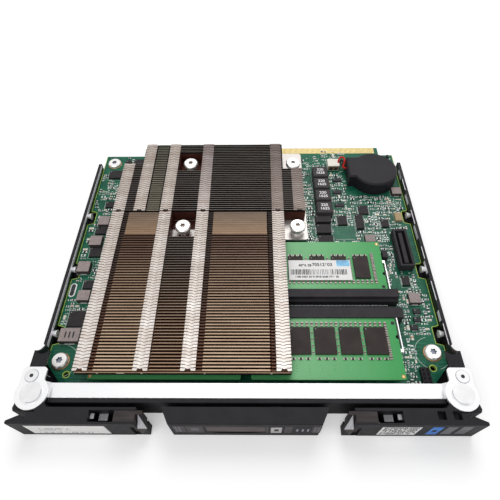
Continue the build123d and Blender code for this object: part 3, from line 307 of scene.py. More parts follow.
def make_materials():
    """Every surface of the sled, by a plain name."""
    brushed = (1, 14, 1)
    return {
        "plated": surface(
            "plated_steel", (0.95, 0.95, 0.96), 0.36, 0.5, 0.01, 120, stretch=brushed, bump=0.004,
            bump_scale=900, rounding=0.25,
        ),
        "steel": surface(
            "pin_steel", (0.80, 0.80, 0.80), 0.30, 0.9, 0.05, 300, bump=0.005, bump_scale=2000,
            rounding=0.12,
        ),
        # Painted shade lines for creases, rims and edges of bright metal.
        "shade_line": surface("painted_shade_line", (0.42, 0.42, 0.50), 0.5, 0.3, 0.1, 500),
        "black_steel": surface(
            "black_coated_steel", (0.014, 0.013, 0.016), 0.28, 0.0, 0.2, 300, bump=0.015,
            bump_scale=2200, rounding=0.2, coat=0.12,
        ),
        "wall_sheen": surface(
            "wall_inner_sheen", (0.93, 0.89, 0.97), 0.40, 0.15, 0.05, 60, stretch=(1, 4, 1), bump=0.01,
            bump_scale=900,
        ),
        # Painted reflection of the green board on the wall's inner face.
        "wall_board_reflection": surface("wall_painted_board_reflection", (0.020, 0.060, 0.040), 0.35, 0.2, 0.2, 200),
        "black_plastic": surface(
            "black_moulding", (0.019, 0.018, 0.021), 0.50, 0.0, 0.15, 160, bump=0.03, bump_scale=4200,
            rounding=0.25,
        ),
        # Grey brown plastic of the latches.
        "grey_brown_plastic": surface(
            "grey_brown_latch_plastic", (0.050, 0.041, 0.041), 0.42, 0.0, 0.3, 120, stretch=(1, 6, 1),
            bump=0.03, bump_scale=3800, rounding=0.25,
        ),
        # Painted light: the highlight on the latches' noses and the lit floor seen through the lever
        # windows.
        "painted_light": surface("painted_light_grey", (0.56, 0.56, 0.59), 0.40, 0.2, 0.2, 200, stretch=(8, 1, 1)),
        "panel": surface("bezel_panel", (0.080, 0.072, 0.075), 0.45, 0.0, 0.15, 200),
        "slot_lining": surface("slot_lining", (0.125, 0.105, 0.100), 0.45, 0.0, 0.2, 90, stretch=(1, 1, 5)),
        "raised_panel": surface("raised_grey_panel", (0.17, 0.165, 0.18), 0.45, 0.0, 0.15, 200),
        "grey_plastic": surface(
            "grey_moulding", (0.60, 0.58, 0.58), 0.45, 0.0, 0.08, 300, bump_scale=3000, rounding=0.2,
        ),
        "socket": surface(
            "socket_moulding", (0.034, 0.031, 0.035), 0.55, 0.0, 0.15, 200, bump=0.03, bump_scale=4000,
            rounding=0.12,
        ),
        # Tab strips and fins: the run from the near to the far colour along the sled is painted light and
        # shade.
        "strip": fin_colour(
            "fin_tab_metal", (0.92, 0.88, 0.84), (0.62, 0.56, 0.51), -67, 78, 0.30, 0.42
        ),
        "strip_dull": fin_colour(
            "dull_tab_metal", (0.70, 0.63, 0.60), (0.34, 0.29, 0.30), 24, 78, 0.35, 0.40
        ),
        "strip_dark": fin_colour(
            "dark_tab_metal", (0.42, 0.36, 0.33), (0.24, 0.20, 0.19), 24, 78, 0.40, 0.38
        ),
        # Painted shade under the tab strips, seen through the gaps between the tabs.
        "tab_gap_shade": surface("fin_tab_gap_shade", (0.20, 0.115, 0.09), 0.6, 0.1, 0.2, 400),
        "fin": fin_colour(
            "fin_metal", (0.74, 0.55, 0.38), (0.125, 0.066, 0.042), -67, 4, 0.10, 0.42
        ),
        "fin_mid": fin_colour(
            "middle_fin_metal", (0.48, 0.33, 0.22), (0.13, 0.115, 0.10), -67, -8, 0.10, 0.42
        ),
        # Upright fin faces: dark painted shade for the gaps between the fins.
        "fin_side": fin_colour(
            "fin_side_painted_shade", (0.13, 0.050, 0.030), (0.024, 0.014, 0.010), -67, 25, 0.1, 0.5
        ),
        "fin_band": fin_colour(
            "fin_band_metal", (0.25, 0.13, 0.075), (0.085, 0.075, 0.066), -67, -15, 0.1, 0.45
        ),
        "fin_closed": fin_colour(
            "closed_fin_metal", (0.36, 0.235, 0.145), (0.17, 0.125, 0.09), 7, 23, 0.10, 0.45
        ),
        "fin_rear": fin_colour(
            "rear_fin_metal", (0.230, 0.205, 0.190), (0.170, 0.155, 0.140), 24, 78, 0.1, 0.4
        ),
        "fin_olive": fin_colour(
            "olive_fin_metal", (0.300, 0.270, 0.210), (0.150, 0.150, 0.115), 24, 78, 0.1, 0.4
        ),
        # Upright faces of the rear fins: near black painted shade for the gaps between them.
        "fin_rear_side": fin_colour(
            "rear_fin_side_painted_shade", (0.010, 0.008, 0.008), (0.009, 0.008, 0.008), 24, 78, 0.0, 0.5
        ),
        # The base's low plate is nickel; its shelf colour is painted shade.
        "nickel": base_colour(
            "heatsink_base_metal", (0.64, 0.60, 0.57), (0.018, 0.014, 0.012), 11.5
        ),
        # Painted shade of the screw pockets, dark reddish like the fin metal.
        "pocket": surface("pocket_painted_shade", (0.075, 0.024, 0.017), 0.5, 0.2, 0.3, 200),
        "screw": surface(
            "nickel_screw", (0.93, 0.91, 0.88), 0.30, 0.7, 0.03, 500, bump=0.005, rounding=0.1,
        ),
        "shadow_brown": surface("plug_face_painted_shade", (0.20, 0.145, 0.10), 0.5, 0.0, 0.2, 500),
        "tan": surface("tan_ceramic", (0.46, 0.34, 0.20), 0.5, 0.0, 0.1, 500),
        # Dark fill of holes, pits and slots as painted shade, and the small dark mark on the button.
        "recess": surface("screw_recess", (0.05, 0.05, 0.055), 0.4, 0.6, 0.3, 900),
        # Screw recesses in painted shade, warm among the fins and cool on the board.
        "warm_pit_shade": surface("warm_recess_shade", (0.34, 0.29, 0.26), 0.4, 0.5, 0.2, 900),
        "cool_pit_shade": surface("cool_recess_shade", (0.26, 0.29, 0.35), 0.4, 0.5, 0.2, 900),
        "board": board_colour(
            "main_board_mask", (0.006, 0.085, 0.050), (0.012, 0.140, 0.075),
            (0.030, 0.22, 0.12), (0.36, 0.50, 0.10), 160.0,
        ),
        # Module colours: the dark inner colour is painted shade under the heatsink; the pale one is painted
        # light beside it.
        "module": module_colour(
            "module_mask", (0.070, 0.32, 0.110), (0.22, 0.56, 0.26), (0.045, 0.38, 0.095),
            (0.02, 0.10, 0.03),
        ),
        "via": surface("module_via", (0.10, 0.42, 0.16), 0.5, 0.0, 0.1, 900),
        "terminal": surface("part_terminal", (0.52, 0.45, 0.42), 0.40, 0.25, 0.15, 1200),
        "laminate": surface("laminate_rim", (0.42, 0.60, 0.12), 0.4, 0.0, 0.25, 400),
        "gold": surface("gold_plate", (0.93, 0.72, 0.32), 0.34, 0.35, 0.06, 400),
        "copper_ring": surface("copper_ring", (0.55, 0.26, 0.12), 0.4, 0.4, 0.15, 500),
        "tin": surface("tin_solder", (0.72, 0.74, 0.72), 0.40, 0.30, 0.2, 900),
        "print": surface("white_print", (0.62, 0.72, 0.66), 0.6, 0.0, 0.1, 900),
        "chip": surface(
            "chip_resin", (0.028, 0.025, 0.027), 0.50, 0.0, 0.2, 300, bump_scale=5000, rounding=0.06,
        ),
        "chip_warm": surface(
            "memory_chip_resin", (0.034, 0.026, 0.024), 0.48, 0.0, 0.25, 160, bump_scale=5000,
            rounding=0.06,
        ),
        "core": surface(
            "inductor_core", (0.36, 0.30, 0.29), 0.60, 0.0, 0.16, 900, bump=0.05, bump_scale=3000,
            rounding=0.12, sides=(0.07, 0.058, 0.058),
        ),
        "core_dark": surface(
            "dark_inductor_core", (0.062, 0.056, 0.060), 0.6, 0.0, 0.16, 900, bump=0.05,
            bump_scale=3000, rounding=0.12,
        ),
        "ceramic": surface("capacitor_ceramic", (0.50, 0.31, 0.19), 0.45, 0.0, 0.2, 1500),
        "ceramic_pale": surface("pale_capacitor", (0.74, 0.66, 0.48), 0.45, 0.0, 0.15, 1500),
        "resistor": surface("resistor_body", (0.03, 0.03, 0.034), 0.4, 0.0, 0.2, 1500),
        "array": surface("resistor_array", (0.16, 0.12, 0.12), 0.5, 0.0, 0.2, 1500),
        "sleeve": surface(
            "battery_sleeve_film", (0.018, 0.016, 0.021), 0.40, 0.0, 0.15, 60, bump=0.20,
            bump_scale=110, rounding=0.3,
        ),
        "ivory": surface("ivory_plug", (0.98, 0.93, 0.84), 0.5, 0.0, 0.06, 400, rounding=0.1),
        "red": surface("red_insulation", (0.62, 0.02, 0.015), 0.35, 0.0, 0.1, 400),
        "black_wire": surface("black_insulation", (0.012, 0.012, 0.013), 0.35, 0.0, 0.1, 400),
        "label": surface("white_label", (0.96, 0.95, 0.94), 0.55, 0.0, 0.02, 200),
        "holo": surface("pale_blue_seal", (0.24, 0.52, 0.80), 0.4, 0.1, 0.35, 260),
        "ink": surface("label_ink", (0.035, 0.035, 0.045), 0.6, 0.0, 0.2, 900),
        "soft_ink": surface("faded_ink", (0.42, 0.42, 0.44), 0.6, 0.0, 0.2, 900),
        "blue": surface("blue_patch", (0.065, 0.24, 0.72), 0.45, 0.0, 0.08, 400),
        "pad": surface("thermal_pad_grey", (0.40, 0.42, 0.45), 0.8, 0.0, 0.1, 700),
        "clear": surface("light_pipe", (0.62, 0.64, 0.68), 0.3, 0.0, 0.05, 300),
    }


LOOKS = make_materials()


# Building meshes


def ring(radius, sides, start=0.0):
    """Points on a circle, anticlockwise."""
    return [
        (
            radius * math.cos(start + 2 * math.pi * index / sides),
            radius * math.sin(start + 2 * math.pi * index / sides),
        )
        for index in range(sides)
    ]


def band(first, second, count):
    """Faces between two rings of points that start at two indexes."""
    return [
        (first + index, first + (index + 1) % count, second + (index + 1) % count, second + index)
        for index in range(count)
    ]


def walls(count):
    """Faces between an outline of points and the outline that is listed after it."""
    return [
        (index, count + index, count + (index + 1) % count, (index + 1) % count)
        for index in range(count)
    ]


def prism_faces(count):
    """Faces of a plate between two outlines of points."""
    return [tuple(range(count)), tuple(reversed(range(count, 2 * count))), *walls(count)]


class Shapes:
    """Gathers solids, in millimetres, into one piece with several materials."""

    def __init__(self, *looks):
        self.looks = looks
        self.points = []
        self.faces = []
        self.slots = []
        self.smooth = []

    def add(self, points, faces, look, smooth=False):
        first = len(self.points)
        self.points += points
        self.faces += [[first + index for index in face] for face in faces]
        self.slots += [self.looks.index(look)] * len(faces)
        self.smooth += [smooth] * len(faces)

    def box(self, x, y, z, look=None, turn=0.0):
        """A box between low and high values, turned about its upright middle line."""
        middle_x, middle_y = sum(x) / 2, sum(y) / 2
        cosine, sine = math.cos(turn), math.sin(turn)
        points = []
        for height in z:
            for px, py in ((x[0], y[0]), (x[1], y[0]), (x[1], y[1]), (x[0], y[1])):
                dx, dy = px - middle_x, py - middle_y
                points.append(
                    (
                        middle_x + dx * cosine - dy * sine,
                        middle_y + dx * sine + dy * cosine,
                        height,
                    )
                )
        faces = [(3, 2, 1, 0), (4, 5, 6, 7), (0, 1, 5, 4), (1, 2, 6, 5), (2, 3, 7, 6), (3, 0, 4, 7)]
        self.add(points, faces, look or self.looks[0])

    def slab(self, outline, z, look=None, smooth=False):
        """An upright prism on an anticlockwise outline."""
        count = len(outline)
        points = [(x, y, height) for height in z for x, y in outline]
        caps = [tuple(reversed(range(count))), tuple(range(count, 2 * count))]
        look = look or self.looks[0]
        self.add(points, caps, look)
        self.add(points, band(0, count, count), look, smooth)

    def lathe(self, centre, profile, look=None, sides=32, smooth=True):
        """A turned shape from (radius, z) points, listed from bottom to top."""
        points = [
            (centre[0] + x, centre[1] + y, z)
            for radius, z in profile
            for x, y in ring(radius, sides)
        ]
        faces = []
        for row in range(len(profile) - 1):
            faces += band(row * sides, (row + 1) * sides, sides)
        look = look or self.looks[0]
        self.add(points, faces, look, smooth)
        last = (len(profile) - 1) * sides
        self.add(points, [tuple(range(last, last + sides))], look)
        self.add(points, [tuple(reversed(range(sides)))], look)

    def collar(self, centre, inner, outer, z, look=None, sides=32, arc=(0, 360)):
        """A flat ring with a thickness, or the part of one between two angles in degrees."""
        whole = arc[1] - arc[0] >= 360
        count = sides if whole else sides + 1
        points = []
        for height in z:
            for radius in (inner, outer):
                for index in range(count):
                    angle = math.radians(arc[0] + (arc[1] - arc[0]) * index / sides)
                    points.append(
                        (
                            centre[0] + radius * math.cos(angle),
                            centre[1] + radius * math.sin(angle),
                            height,
                        )
                    )
        faces = []
        for index in range(sides):
            after = (index + 1) % count
            low_in, low_out, high_in, high_out = (row * count + index for row in range(4))
            low_in2, low_out2, high_in2, high_out2 = (row * count + after for row in range(4))
            faces.append((high_in, high_out, high_out2, high_in2))
            faces.append((low_in2, low_out2, low_out, low_in))
            faces.append((low_out, low_out2, high_out2, high_out))
            faces.append((low_in2, low_in, high_in, high_in2))
        if not whole:
            faces.append([row * count for row in (0, 1, 3, 2)])
            faces.append([row * count + sides for row in (2, 3, 1, 0)])
        self.add(points, faces, look or self.looks[0])

    def piece(self, name, body=SLED, bevel=0.0):
        """Makes the piece, in metres, and lets it ride on a body."""
        mesh = bpy.data.meshes.new(name)
        mesh.from_pydata([[value * MM for value in point] for point in self.points], [], self.faces)
        for look in self.looks:
            mesh.materials.append(LOOKS[look])
        for polygon, look_index, smooth in zip(mesh.polygons, self.slots, self.smooth):
            polygon.material_index = look_index
            polygon.use_smooth = smooth
        mesh.update()
        made = bpy.data.objects.new(name, mesh)
        bpy.context.scene.collection.objects.link(made)
        if bevel:
            rounding = made.modifiers.new("rounding", "BEVEL")
            rounding.width = bevel * MM
            rounding.segments = 2
            rounding.limit_method = "ANGLE"
        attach(made, body)
        return made


def write(name, text, size, place, look, body=SLED, turn=(0, 0, 0)):
    """Plain numbers, lying flat on a surface or turned onto a front face."""
    curve = bpy.data.curves.new(name, "FONT")
    curve.body = text
    curve.size = size * MM
    curve.align_x = "CENTER"
    curve.align_y = "CENTER"
    curve.offset = 0.00006
    curve.materials.append(LOOKS[look])
    made = bpy.data.objects.new(name, curve)
    bpy.context.scene.collection.objects.link(made)
    made.location = [value * MM for value in place]
    made.rotation_euler = turn
    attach(made, body)
    return made


def wire(name, points, radius, look):
    """A round wire through points, in millimetres."""
    curve = bpy.data.curves.new(name, "CURVE")
    curve.dimensions = "3D"
    curve.bevel_depth = radius * MM
    curve.bevel_resolution = 3
    curve.use_fill_caps = True
    line = curve.splines.new("POLY")
    line.points.add(len(points) - 1)
    for knot, point in zip(line.points, points):
        knot.co = (*(value * MM for value in point), 1)
    curve.materials.append(LOOKS[look])
    made = bpy.data.objects.new(name, curve)
    bpy.context.scene.collection.objects.link(made)
    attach(made, SLED)
    return made


def coil(name, centre, radius, thickness, z, turns, look):
    """A coil spring as one smooth wire."""
    steps = turns * 14
    points = []
    for index in range(steps + 1):
        angle = 2 * math.pi * turns * index / steps
        height = z[0] + thickness / 2 + (z[1] - z[0] - thickness) * index / steps
        points.append((centre[0] + radius * math.cos(angle), centre[1] + radius * math.sin(angle), height))
    return wire(name, points, thickness / 2, look)


def loop_through(knots, steps=8):
    """A smooth path through a few knots."""
    path = []
    ends = [knots[0], *knots, knots[-1]]
    for before, start, stop, after in zip(ends, ends[1:], ends[2:], ends[3:]):
        for step in range(steps):
            share = step / steps
            path.append(
                [
                    0.5
                    * (
                        2 * b
                        + (c - a) * share
                        + (2 * a - 5 * b + 4 * c - d) * share**2
                        + (3 * b - a - 3 * c + d) * share**3
                    )
                    for a, b, c, d in zip(before, start, stop, after)
                ]
            )
    return path + [list(knots[-1])]


# Looks of the CAD nodes that are shown as they are

NODE_LOOKS = {
    "plated": ["crossbar", "rail_rivets"],
    "black_steel": ["tray"],
    "black_plastic": [
        "left_guide_strip", "right_guide_strip", "bezel_bar", "centre_bezel", "left_lever",
        "right_lever", "pin_header",
    ],
    "grey_brown_plastic": ["left_latch", "right_latch"],
    "socket": ["card_connector"],
    "grey_plastic": ["push_button"],
    "resistor": ["button_switch"],
    "steel": [
        "left_pivot_pin", "right_pivot_pin", "corner_rivets", "standoffs",
        "left_latch_spring", "right_latch_spring",
    ],
    "board": ["main_board"],
    "gold": ["edge_contacts"],
    "nickel": ["heatsink_base"],
    "chip": ["processors", "large_chips", "small_chips"],
    "pad": ["thermal_pads"],
    "core_dark": ["inductors"],
    "core": ["small_inductors"],
    "ivory": ["battery_plug"],
    "red": ["red_lead"],
    "black_wire": ["black_lead"],
    "clear": ["light_pipes"],
    "sleeve": ["battery"],
    "screw": ["board_screws", "heatsink_screws"],
    "fin": ["front_fin_stack"],
    "fin_rear": ["rear_fin_stack"],
}


def dress_nodes():
    """Gives every CAD node its material."""
    for look, names in NODE_LOOKS.items():
        for name in names:
            give(name, look)
    for row in ("front", "rear"):
        for side in ("left", "right"):
            give(f"{row}_{side}_socket", "socket")
            give(f"{row}_{side}_memory_module", "module")
            for place in ("inner", "outer"):
                give(f"{row}_{side}_{place}_arm", "plated")


def give(node, look):
    slots = nodes[node].data.materials
    if not slots:
        slots.append(LOOKS[look])
    for index in range(len(slots)):
        slots[index] = LOOKS[look]


# Heatsink: fins, their tab strips, and the screws in their pockets

FIN_PITCH = 1.53
FIN_SHEET = 0.30
FIN_TOP = 17.1
FLANGE = 0.46
FLANGE_SHEET = 0.2
SHELF_TOP = 13.5
BASE_TOP = 9.0
STEP_Y = 7.9
STRIP_WIDTH = 6.5
FRONT_STRIPS = (-71.5, -45.4, -24.8, 16.5)
REAR_STRIPS = (-71.5, -60.1, -45.4, -24.8, 16.5, 28.5)
POCKET_X = (-42.0, -28.2)
REAR_POCKET_Y = (56.5, 71.4)
FRONT_POCKET_Y = 6.7
CLOSED_ZONES = ((-65.3, -48.8), (-18.9, 10.3))
CLOSED_DEPTH = 16.0
BANDS = ((0, 0), (2.5, 0), (0.6, 0), (2.9, 2.0), (0, 0))
GROOVE = 0.7
REACHES = {"fin_mid": FLANGE - 0.16, "fin_closed": FIN_PITCH - 0.30}
BAND_DROP = 0.35
POCKET_SPAN = (POCKET_X[0] - 3, POCKET_X[1] + 3)
POCKET_FIELD_END = FRONT_STRIPS[2] - STRIP_WIDTH / 2
FRONT_PEGS = (-64.4, -45.0, -17.7, 11.1)
FRONT_BAR = (-56.1, -52.6)
REAR_LEFT_NOTCH = (-63.4, 61.5)
REAR_RIGHT_NOTCH = (20.6, 57.0)


def fin_rows(low, high):
    """The y places of the fins between two ends, centred as the comb is."""
    count = int((high - low - 0.36) / FIN_PITCH) + 1
    first = (low + high) / 2 - (count - 1) * FIN_PITCH / 2
    return [first + index * FIN_PITCH for index in range(count)]


def fields(low_x, high_x, strips):
    """The stretches of fin between the tab strips, as (low, high, look)."""
    edges = [low_x]
    for x in strips:
        edges += [x - STRIP_WIDTH / 2, x + STRIP_WIDTH / 2]
    edges.append(high_x)
    for start, end, (left, right) in zip(edges[::2], edges[1::2], BANDS):
        if left:
            yield start, start + left, "fin_band"
        if end - right - start - left > 0.2:
            tone = "fin_mid" if end == POCKET_FIELD_END else "fin"
            yield start + left, end - right - (GROOVE if right else 0), tone
        if right:
            yield end - right, end, "fin_band"


def cut(low, high, hole):
    """What a gap leaves of a stretch."""
    parts = [(low, min(high, hole[0])), (max(low, hole[1]), high)]
    return [part for part in parts if part[1] - part[0] > 0.05]


def front_fins():
    """Fins of the front stack: flanged tops, closed zones and a screw pocket."""
    low, high = node_box("front_fin_stack")
    shapes = Shapes("fin", "fin_side", "fin_band", "fin_closed", "fin_mid", "strip")
    rows = fin_rows(low[1], STEP_Y) + fin_rows(STEP_Y + 0.1, high[1])
    for y in rows:
        bottom = SHELF_TOP if y < STEP_Y else BASE_TOP
        spans = [(low[0], high[0])]
        if y > FRONT_POCKET_Y:
            spans = cut(low[0], high[0], POCKET_X)
        for start, end in spans:
            # The upright sheets carry the painted shade of the gaps between fins.
            shapes.box(
                (start, end), (y - FIN_SHEET / 2, y + FIN_SHEET / 2),
                (bottom, FIN_TOP - FLANGE_SHEET), "fin_side",
            )
        for start, end, tone in fields(low[0], high[0], FRONT_STRIPS):
            in_closed = [
                zone for zone in CLOSED_ZONES
                if zone[0] < end and zone[1] > start and y > high[1] - CLOSED_DEPTH
            ]
            pieces = [(start, end, tone)]
            if in_closed and tone == "fin":
                zone = in_closed[0]
                left, right = max(start, zone[0]), min(end, zone[1])
                pieces = [(start, left, "fin_band"), (left, right, "fin_closed"), (right, end, "fin_band")]
            for left, right, look in pieces:
                if right - left < 0.05:
                    continue
                if y > FRONT_POCKET_Y and left >= POCKET_SPAN[0] and right <= POCKET_SPAN[1]:
                    continue
                reach = REACHES.get(look, FLANGE)
                drop = BAND_DROP if look == "fin_band" else 0.0
                shapes.box(
                    (left, right), (y - reach, y + FIN_SHEET / 2),
                    (FIN_TOP - FLANGE_SHEET - drop, FIN_TOP - drop), look,
                )
    lip = low[1] - 0.1
    shapes.box((low[0] + 0.4, high[0] - 0.4), (lip, low[1] + 0.3), (15.1, 15.35), "fin")
    for x in FRONT_PEGS:
        shapes.box((x - 0.4, x + 0.4), (lip - 0.12, low[1]), (14.3, 15.1), "strip")
    shapes.box(FRONT_BAR, (lip - 0.12, low[1]), (14.5, 15.0), "strip")
    fins = shapes.piece("front_fins")
    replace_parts(fins, "front_fin_stack")


def rear_fins():
    """Fins of the rear stack: narrow tops over gaps in painted shade, cut away at both rear corners."""
    low, high = node_box("rear_fin_stack")
    shapes = Shapes("fin_rear", "fin_rear_side", "fin_olive")
    olive = (REAR_STRIPS[1] + STRIP_WIDTH / 2, REAR_STRIPS[2] - STRIP_WIDTH / 2)
    tops = (FIN_TOP - FLANGE_SHEET, FIN_TOP)
    for y in fin_rows(low[1], high[1]):
        start = REAR_LEFT_NOTCH[0] if y > REAR_LEFT_NOTCH[1] else low[0]
        end = REAR_RIGHT_NOTCH[0] if y > REAR_RIGHT_NOTCH[1] else high[0]
        spans = [(start, end)]
        if REAR_POCKET_Y[0] < y < REAR_POCKET_Y[1]:
            spans = cut(start, end, POCKET_X)
        rear = y + FIN_SHEET / 2
        for left, right in spans:
            shapes.box((left, right), (rear - FIN_SHEET, rear), (BASE_TOP, tops[0]), "fin_rear_side")
            for part in cut(left, right, olive):
                shapes.box(part, (rear - FIN_SHEET + 0.04, rear), tops, "fin_rear")
        shapes.box((olive[0] + 0.7, olive[1] - 0.7), (rear - FIN_SHEET - 0.30, rear), tops, "fin_olive")
    fins = shapes.piece("rear_fins")
    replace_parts(fins, "rear_fin_stack")


TAB_STEPS = (-1.0, -0.82, -0.78, -0.45, -0.28, -0.12, 0.0, 0.12, 0.28, 0.45, 0.78, 0.82, 1.0)
TAB_BUMPS = (0.0, 0.0, 0.16, 0.16, 0.55, 0.9, 1.0, 0.9, 0.55, 0.16, 0.16, 0.0, 0.0)
TAB_REACH = 0.62
TAB_GAP = 0.36
TAB_LIFT = 0.22
ARCH_REACH = 1.5


def tab_strip(shapes, x, low_y, high_y, look="strip"):
    """A row of interlocked tabs: each has an arched front edge that steps onto the next."""
    half = STRIP_WIDTH / 2
    count = round((high_y - low_y) / FIN_PITCH)
    pitch = (high_y - low_y) / count
    for row in range(count):
        start = low_y + row * pitch
        reach = ARCH_REACH if row == 0 else -TAB_REACH
        top, points = FIN_TOP + 0.35, []
        for step, bump in zip(TAB_STEPS, TAB_BUMPS):
            if row == 0:
                bump = math.sqrt(max(0.0, 1 - (step / 0.45) ** 2))
            gap = TAB_GAP * (0.45 + 0.55 * abs(step))
            front = start + reach * bump + gap / 2
            rear = start + pitch - TAB_REACH * TAB_BUMPS[TAB_STEPS.index(step)] - gap / 2
            rear = max(rear, front + 0.05)
            for z in (FIN_TOP - 0.1, top):
                points.append((x + step * half, front, z))
            points.append((x + step * half, rear, top - TAB_LIFT))
            points.append((x + step * half, rear, FIN_TOP - 0.1))
        faces = []
        for index in range(len(TAB_STEPS) - 1):
            here, there = 4 * index, 4 * (index + 1)
            faces.append((here, there, there + 1, here + 1))
            faces.append((here + 1, there + 1, there + 2, here + 2))
            faces.append((here + 2, there + 2, there + 3, here + 3))
        last = 4 * (len(TAB_STEPS) - 1)
        faces.append((0, 1, 2, 3))
        faces.append((last + 3, last + 2, last + 1, last))
        shapes.add(points, faces, look)
    # A dark underlay under the tabs: painted shade seen through the gaps between them.
    shapes.box(
        (x - half + 0.15, x + half - 0.15), (low_y + ARCH_REACH + 0.2, high_y),
        (FIN_TOP - 0.2, FIN_TOP + 0.06), "tab_gap_shade",
    )


def tab_strips():
    front_low, front_high = node_box("front_fin_stack")
    rear_low, rear_high = node_box("rear_fin_stack")
    shapes = Shapes("strip", "strip_dull", "strip_dark", "tab_gap_shade")
    for x in FRONT_STRIPS:
        tab_strip(shapes, x, front_low[1], front_high[1])
    for x in REAR_STRIPS:
        end = rear_high[1]
        if x < REAR_LEFT_NOTCH[0]:
            end = REAR_LEFT_NOTCH[1]
        if x > REAR_RIGHT_NOTCH[0]:
            end = REAR_RIGHT_NOTCH[1]
        look = "strip" if x < REAR_STRIPS[3] else "strip_dull" if x < 0 else "strip_dark"
        tab_strip(shapes, x, rear_low[1], end, look)
    shapes.piece("fin_tab_strips")


# Screw heads
STAR_LOBES = 6
STAR_STEPS = 6
PIT_DEPTH = 0.9
HEAD_HEIGHT = 2.0
HEAD_RADIUS = 4.3
SPRING_WIRE = 0.55


def star(radius):
    """The outline of a six lobed driver recess."""
    outline = []
    for px, py in ring(1.0, STAR_LOBES * STAR_STEPS):
        reach = radius * (0.86 + 0.14 * math.cos(STAR_LOBES * math.atan2(py, px)))
        outline.append((reach * px, reach * py))
    return outline


def screw_head(shapes, centre, radius, z, recess, pit_shade_look, look="screw"):
    """A low head with a rounded rim and a six lobed recess, whose pit is coloured as painted shade."""
    sides = STAR_LOBES * STAR_STEPS
    bottom, top = z
    rim = 0.3 * (top - bottom)
    hole = star(recess)
    rows = [
        [(centre[0] + px, centre[1] + py, bottom) for px, py in ring(radius, sides)],
        [(centre[0] + px, centre[1] + py, top - rim) for px, py in ring(radius, sides)],
        [(centre[0] + px, centre[1] + py, top) for px, py in ring(radius - rim, sides)],
        [(centre[0] + px, centre[1] + py, top) for px, py in hole],
    ]
    points = [point for row in rows for point in row]
    faces = []
    for row in range(len(rows) - 1):
        faces += band(row * sides, (row + 1) * sides, sides)
    shapes.add(points, faces, look)
    heights = (top - PIT_DEPTH, top)
    pit = [(centre[0] + px, centre[1] + py, height) for height in heights for px, py in hole]
    shapes.add(pit, walls(sides), pit_shade_look)
    shapes.add(pit, [tuple(range(sides))], pit_shade_look)


def heatsink_screws():
    """Shouldered screws with a spring under each head."""
    shapes = Shapes("screw", "warm_pit_shade")
    for index, box in enumerate(solids_by_place("heatsink_screws")):
        x, y, _ = middle(box)
        top = box[1][2]
        neck, seat = top - HEAD_HEIGHT, BASE_TOP + 0.8
        screw_head(shapes, (x, y), HEAD_RADIUS, (neck, top), 1.5, "warm_pit_shade")
        for radius, bottom, end, sides in ((1.9, 3.3, neck, 24), (3.0, BASE_TOP, seat, 28)):
            shapes.lathe((x, y), [(radius, bottom), (radius, end)], "screw", sides)
        name = f"heatsink_spring_{index + 1}"
        coil(name, (x, y), 2.5, SPRING_WIRE, (seat, neck), 3, "steel")
    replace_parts(shapes.piece("heatsink_screw_set"), "heatsink_screws")


def pocket_plates():
    """Dark reddish plates on the walls and floors of the screw pockets and on the rear stack's front face:
    painted shade in the pockets, with bare nickel left at some floor spots.
    """
    front = node_box("front_fin_stack")[1][1]
    shapes = Shapes("pocket")
    z = (BASE_TOP, FIN_TOP - 1.2)
    for start, end in ((FRONT_POCKET_Y + 0.3, front), REAR_POCKET_Y):
        for x in POCKET_X:
            inward = 0.15 if x == POCKET_X[0] else -0.15
            shapes.box(sorted((x, x + inward)), (start + 0.2, end - 0.2), z)
    shapes.box(POCKET_X, (REAR_POCKET_Y[1] - 0.35, REAR_POCKET_Y[1] - 0.15), z)
    split = node_box("rear_fin_stack")[0][1]
    for x in (POCKET_X, (node_box("front_fin_stack")[1][0], node_box("rear_fin_stack")[1][0])):
        shapes.box(x, (split - 0.2, split - 0.05), z)
    spot_x, spot_y = POCKET_X[0] + 3.2, REAR_POCKET_Y[0] + 2.1
    floor = (BASE_TOP, BASE_TOP + 0.05)
    shapes.box((spot_x, POCKET_X[1]), REAR_POCKET_Y, floor)
    shapes.box((POCKET_X[0], spot_x), (spot_y, REAR_POCKET_Y[1]), floor)
    shapes.box(POCKET_X, (front - 6.5, front), floor)
    shapes.box((POCKET_X[0] + 4.0, POCKET_X[1] - 4.0), (FRONT_POCKET_Y + 0.5, front - 6.5), floor)
    shapes.piece("pocket_shade_plates")


def solids_by_place(node):
    """Solids of a screw set, joined where collar and shaft share an axis."""
    kept = []
    for box in solids(node):
        x, y, _ = middle(box)
        match = [other for other in kept if math.dist(middle(other)[:2], (x, y)) < 1.0]
        if match:
            low = [min(pair) for pair in zip(match[0][0], box[0])]
            high = [max(pair) for pair in zip(match[0][1], box[1])]
            kept.remove(match[0])
            box = (low, high)
        kept.append(box)
    return kept


# Main board: screws, pads, print and small parts

BOARD_TOP = node_box("main_board")[1][2]
NOTCH_ROWS = (-44.7, -8.1, 28.9)
NOTCH_DEPTH = 3.4
RIM_WIDTH = 0.35


def board_screws():
    shapes = Shapes("screw", "cool_pit_shade", "copper_ring", "print")
    top = BOARD_TOP
    for box in solids("board_screws"):
        x, y, _ = middle(box)
        screw_head(shapes, (x, y), 3.85, (top, top + 1.9), 1.6, "cool_pit_shade")
        shapes.lathe((x, y), [(1.4, 1.0), (1.4, top)], "screw", 20)
        shapes.collar((x, y), 3.6, 4.15, (top, top + 0.06), "copper_ring", 40)
        if y < 0:
            for arc in ((100, 250), (285, 330)) if x > 0 else ((-70, 80), (200, 250)):
                shapes.collar((x, y), 7.8, 8.0, (top, top + 0.03), "print", 40, arc)
    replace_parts(shapes.piece("board_screw_set"), "board_screws")


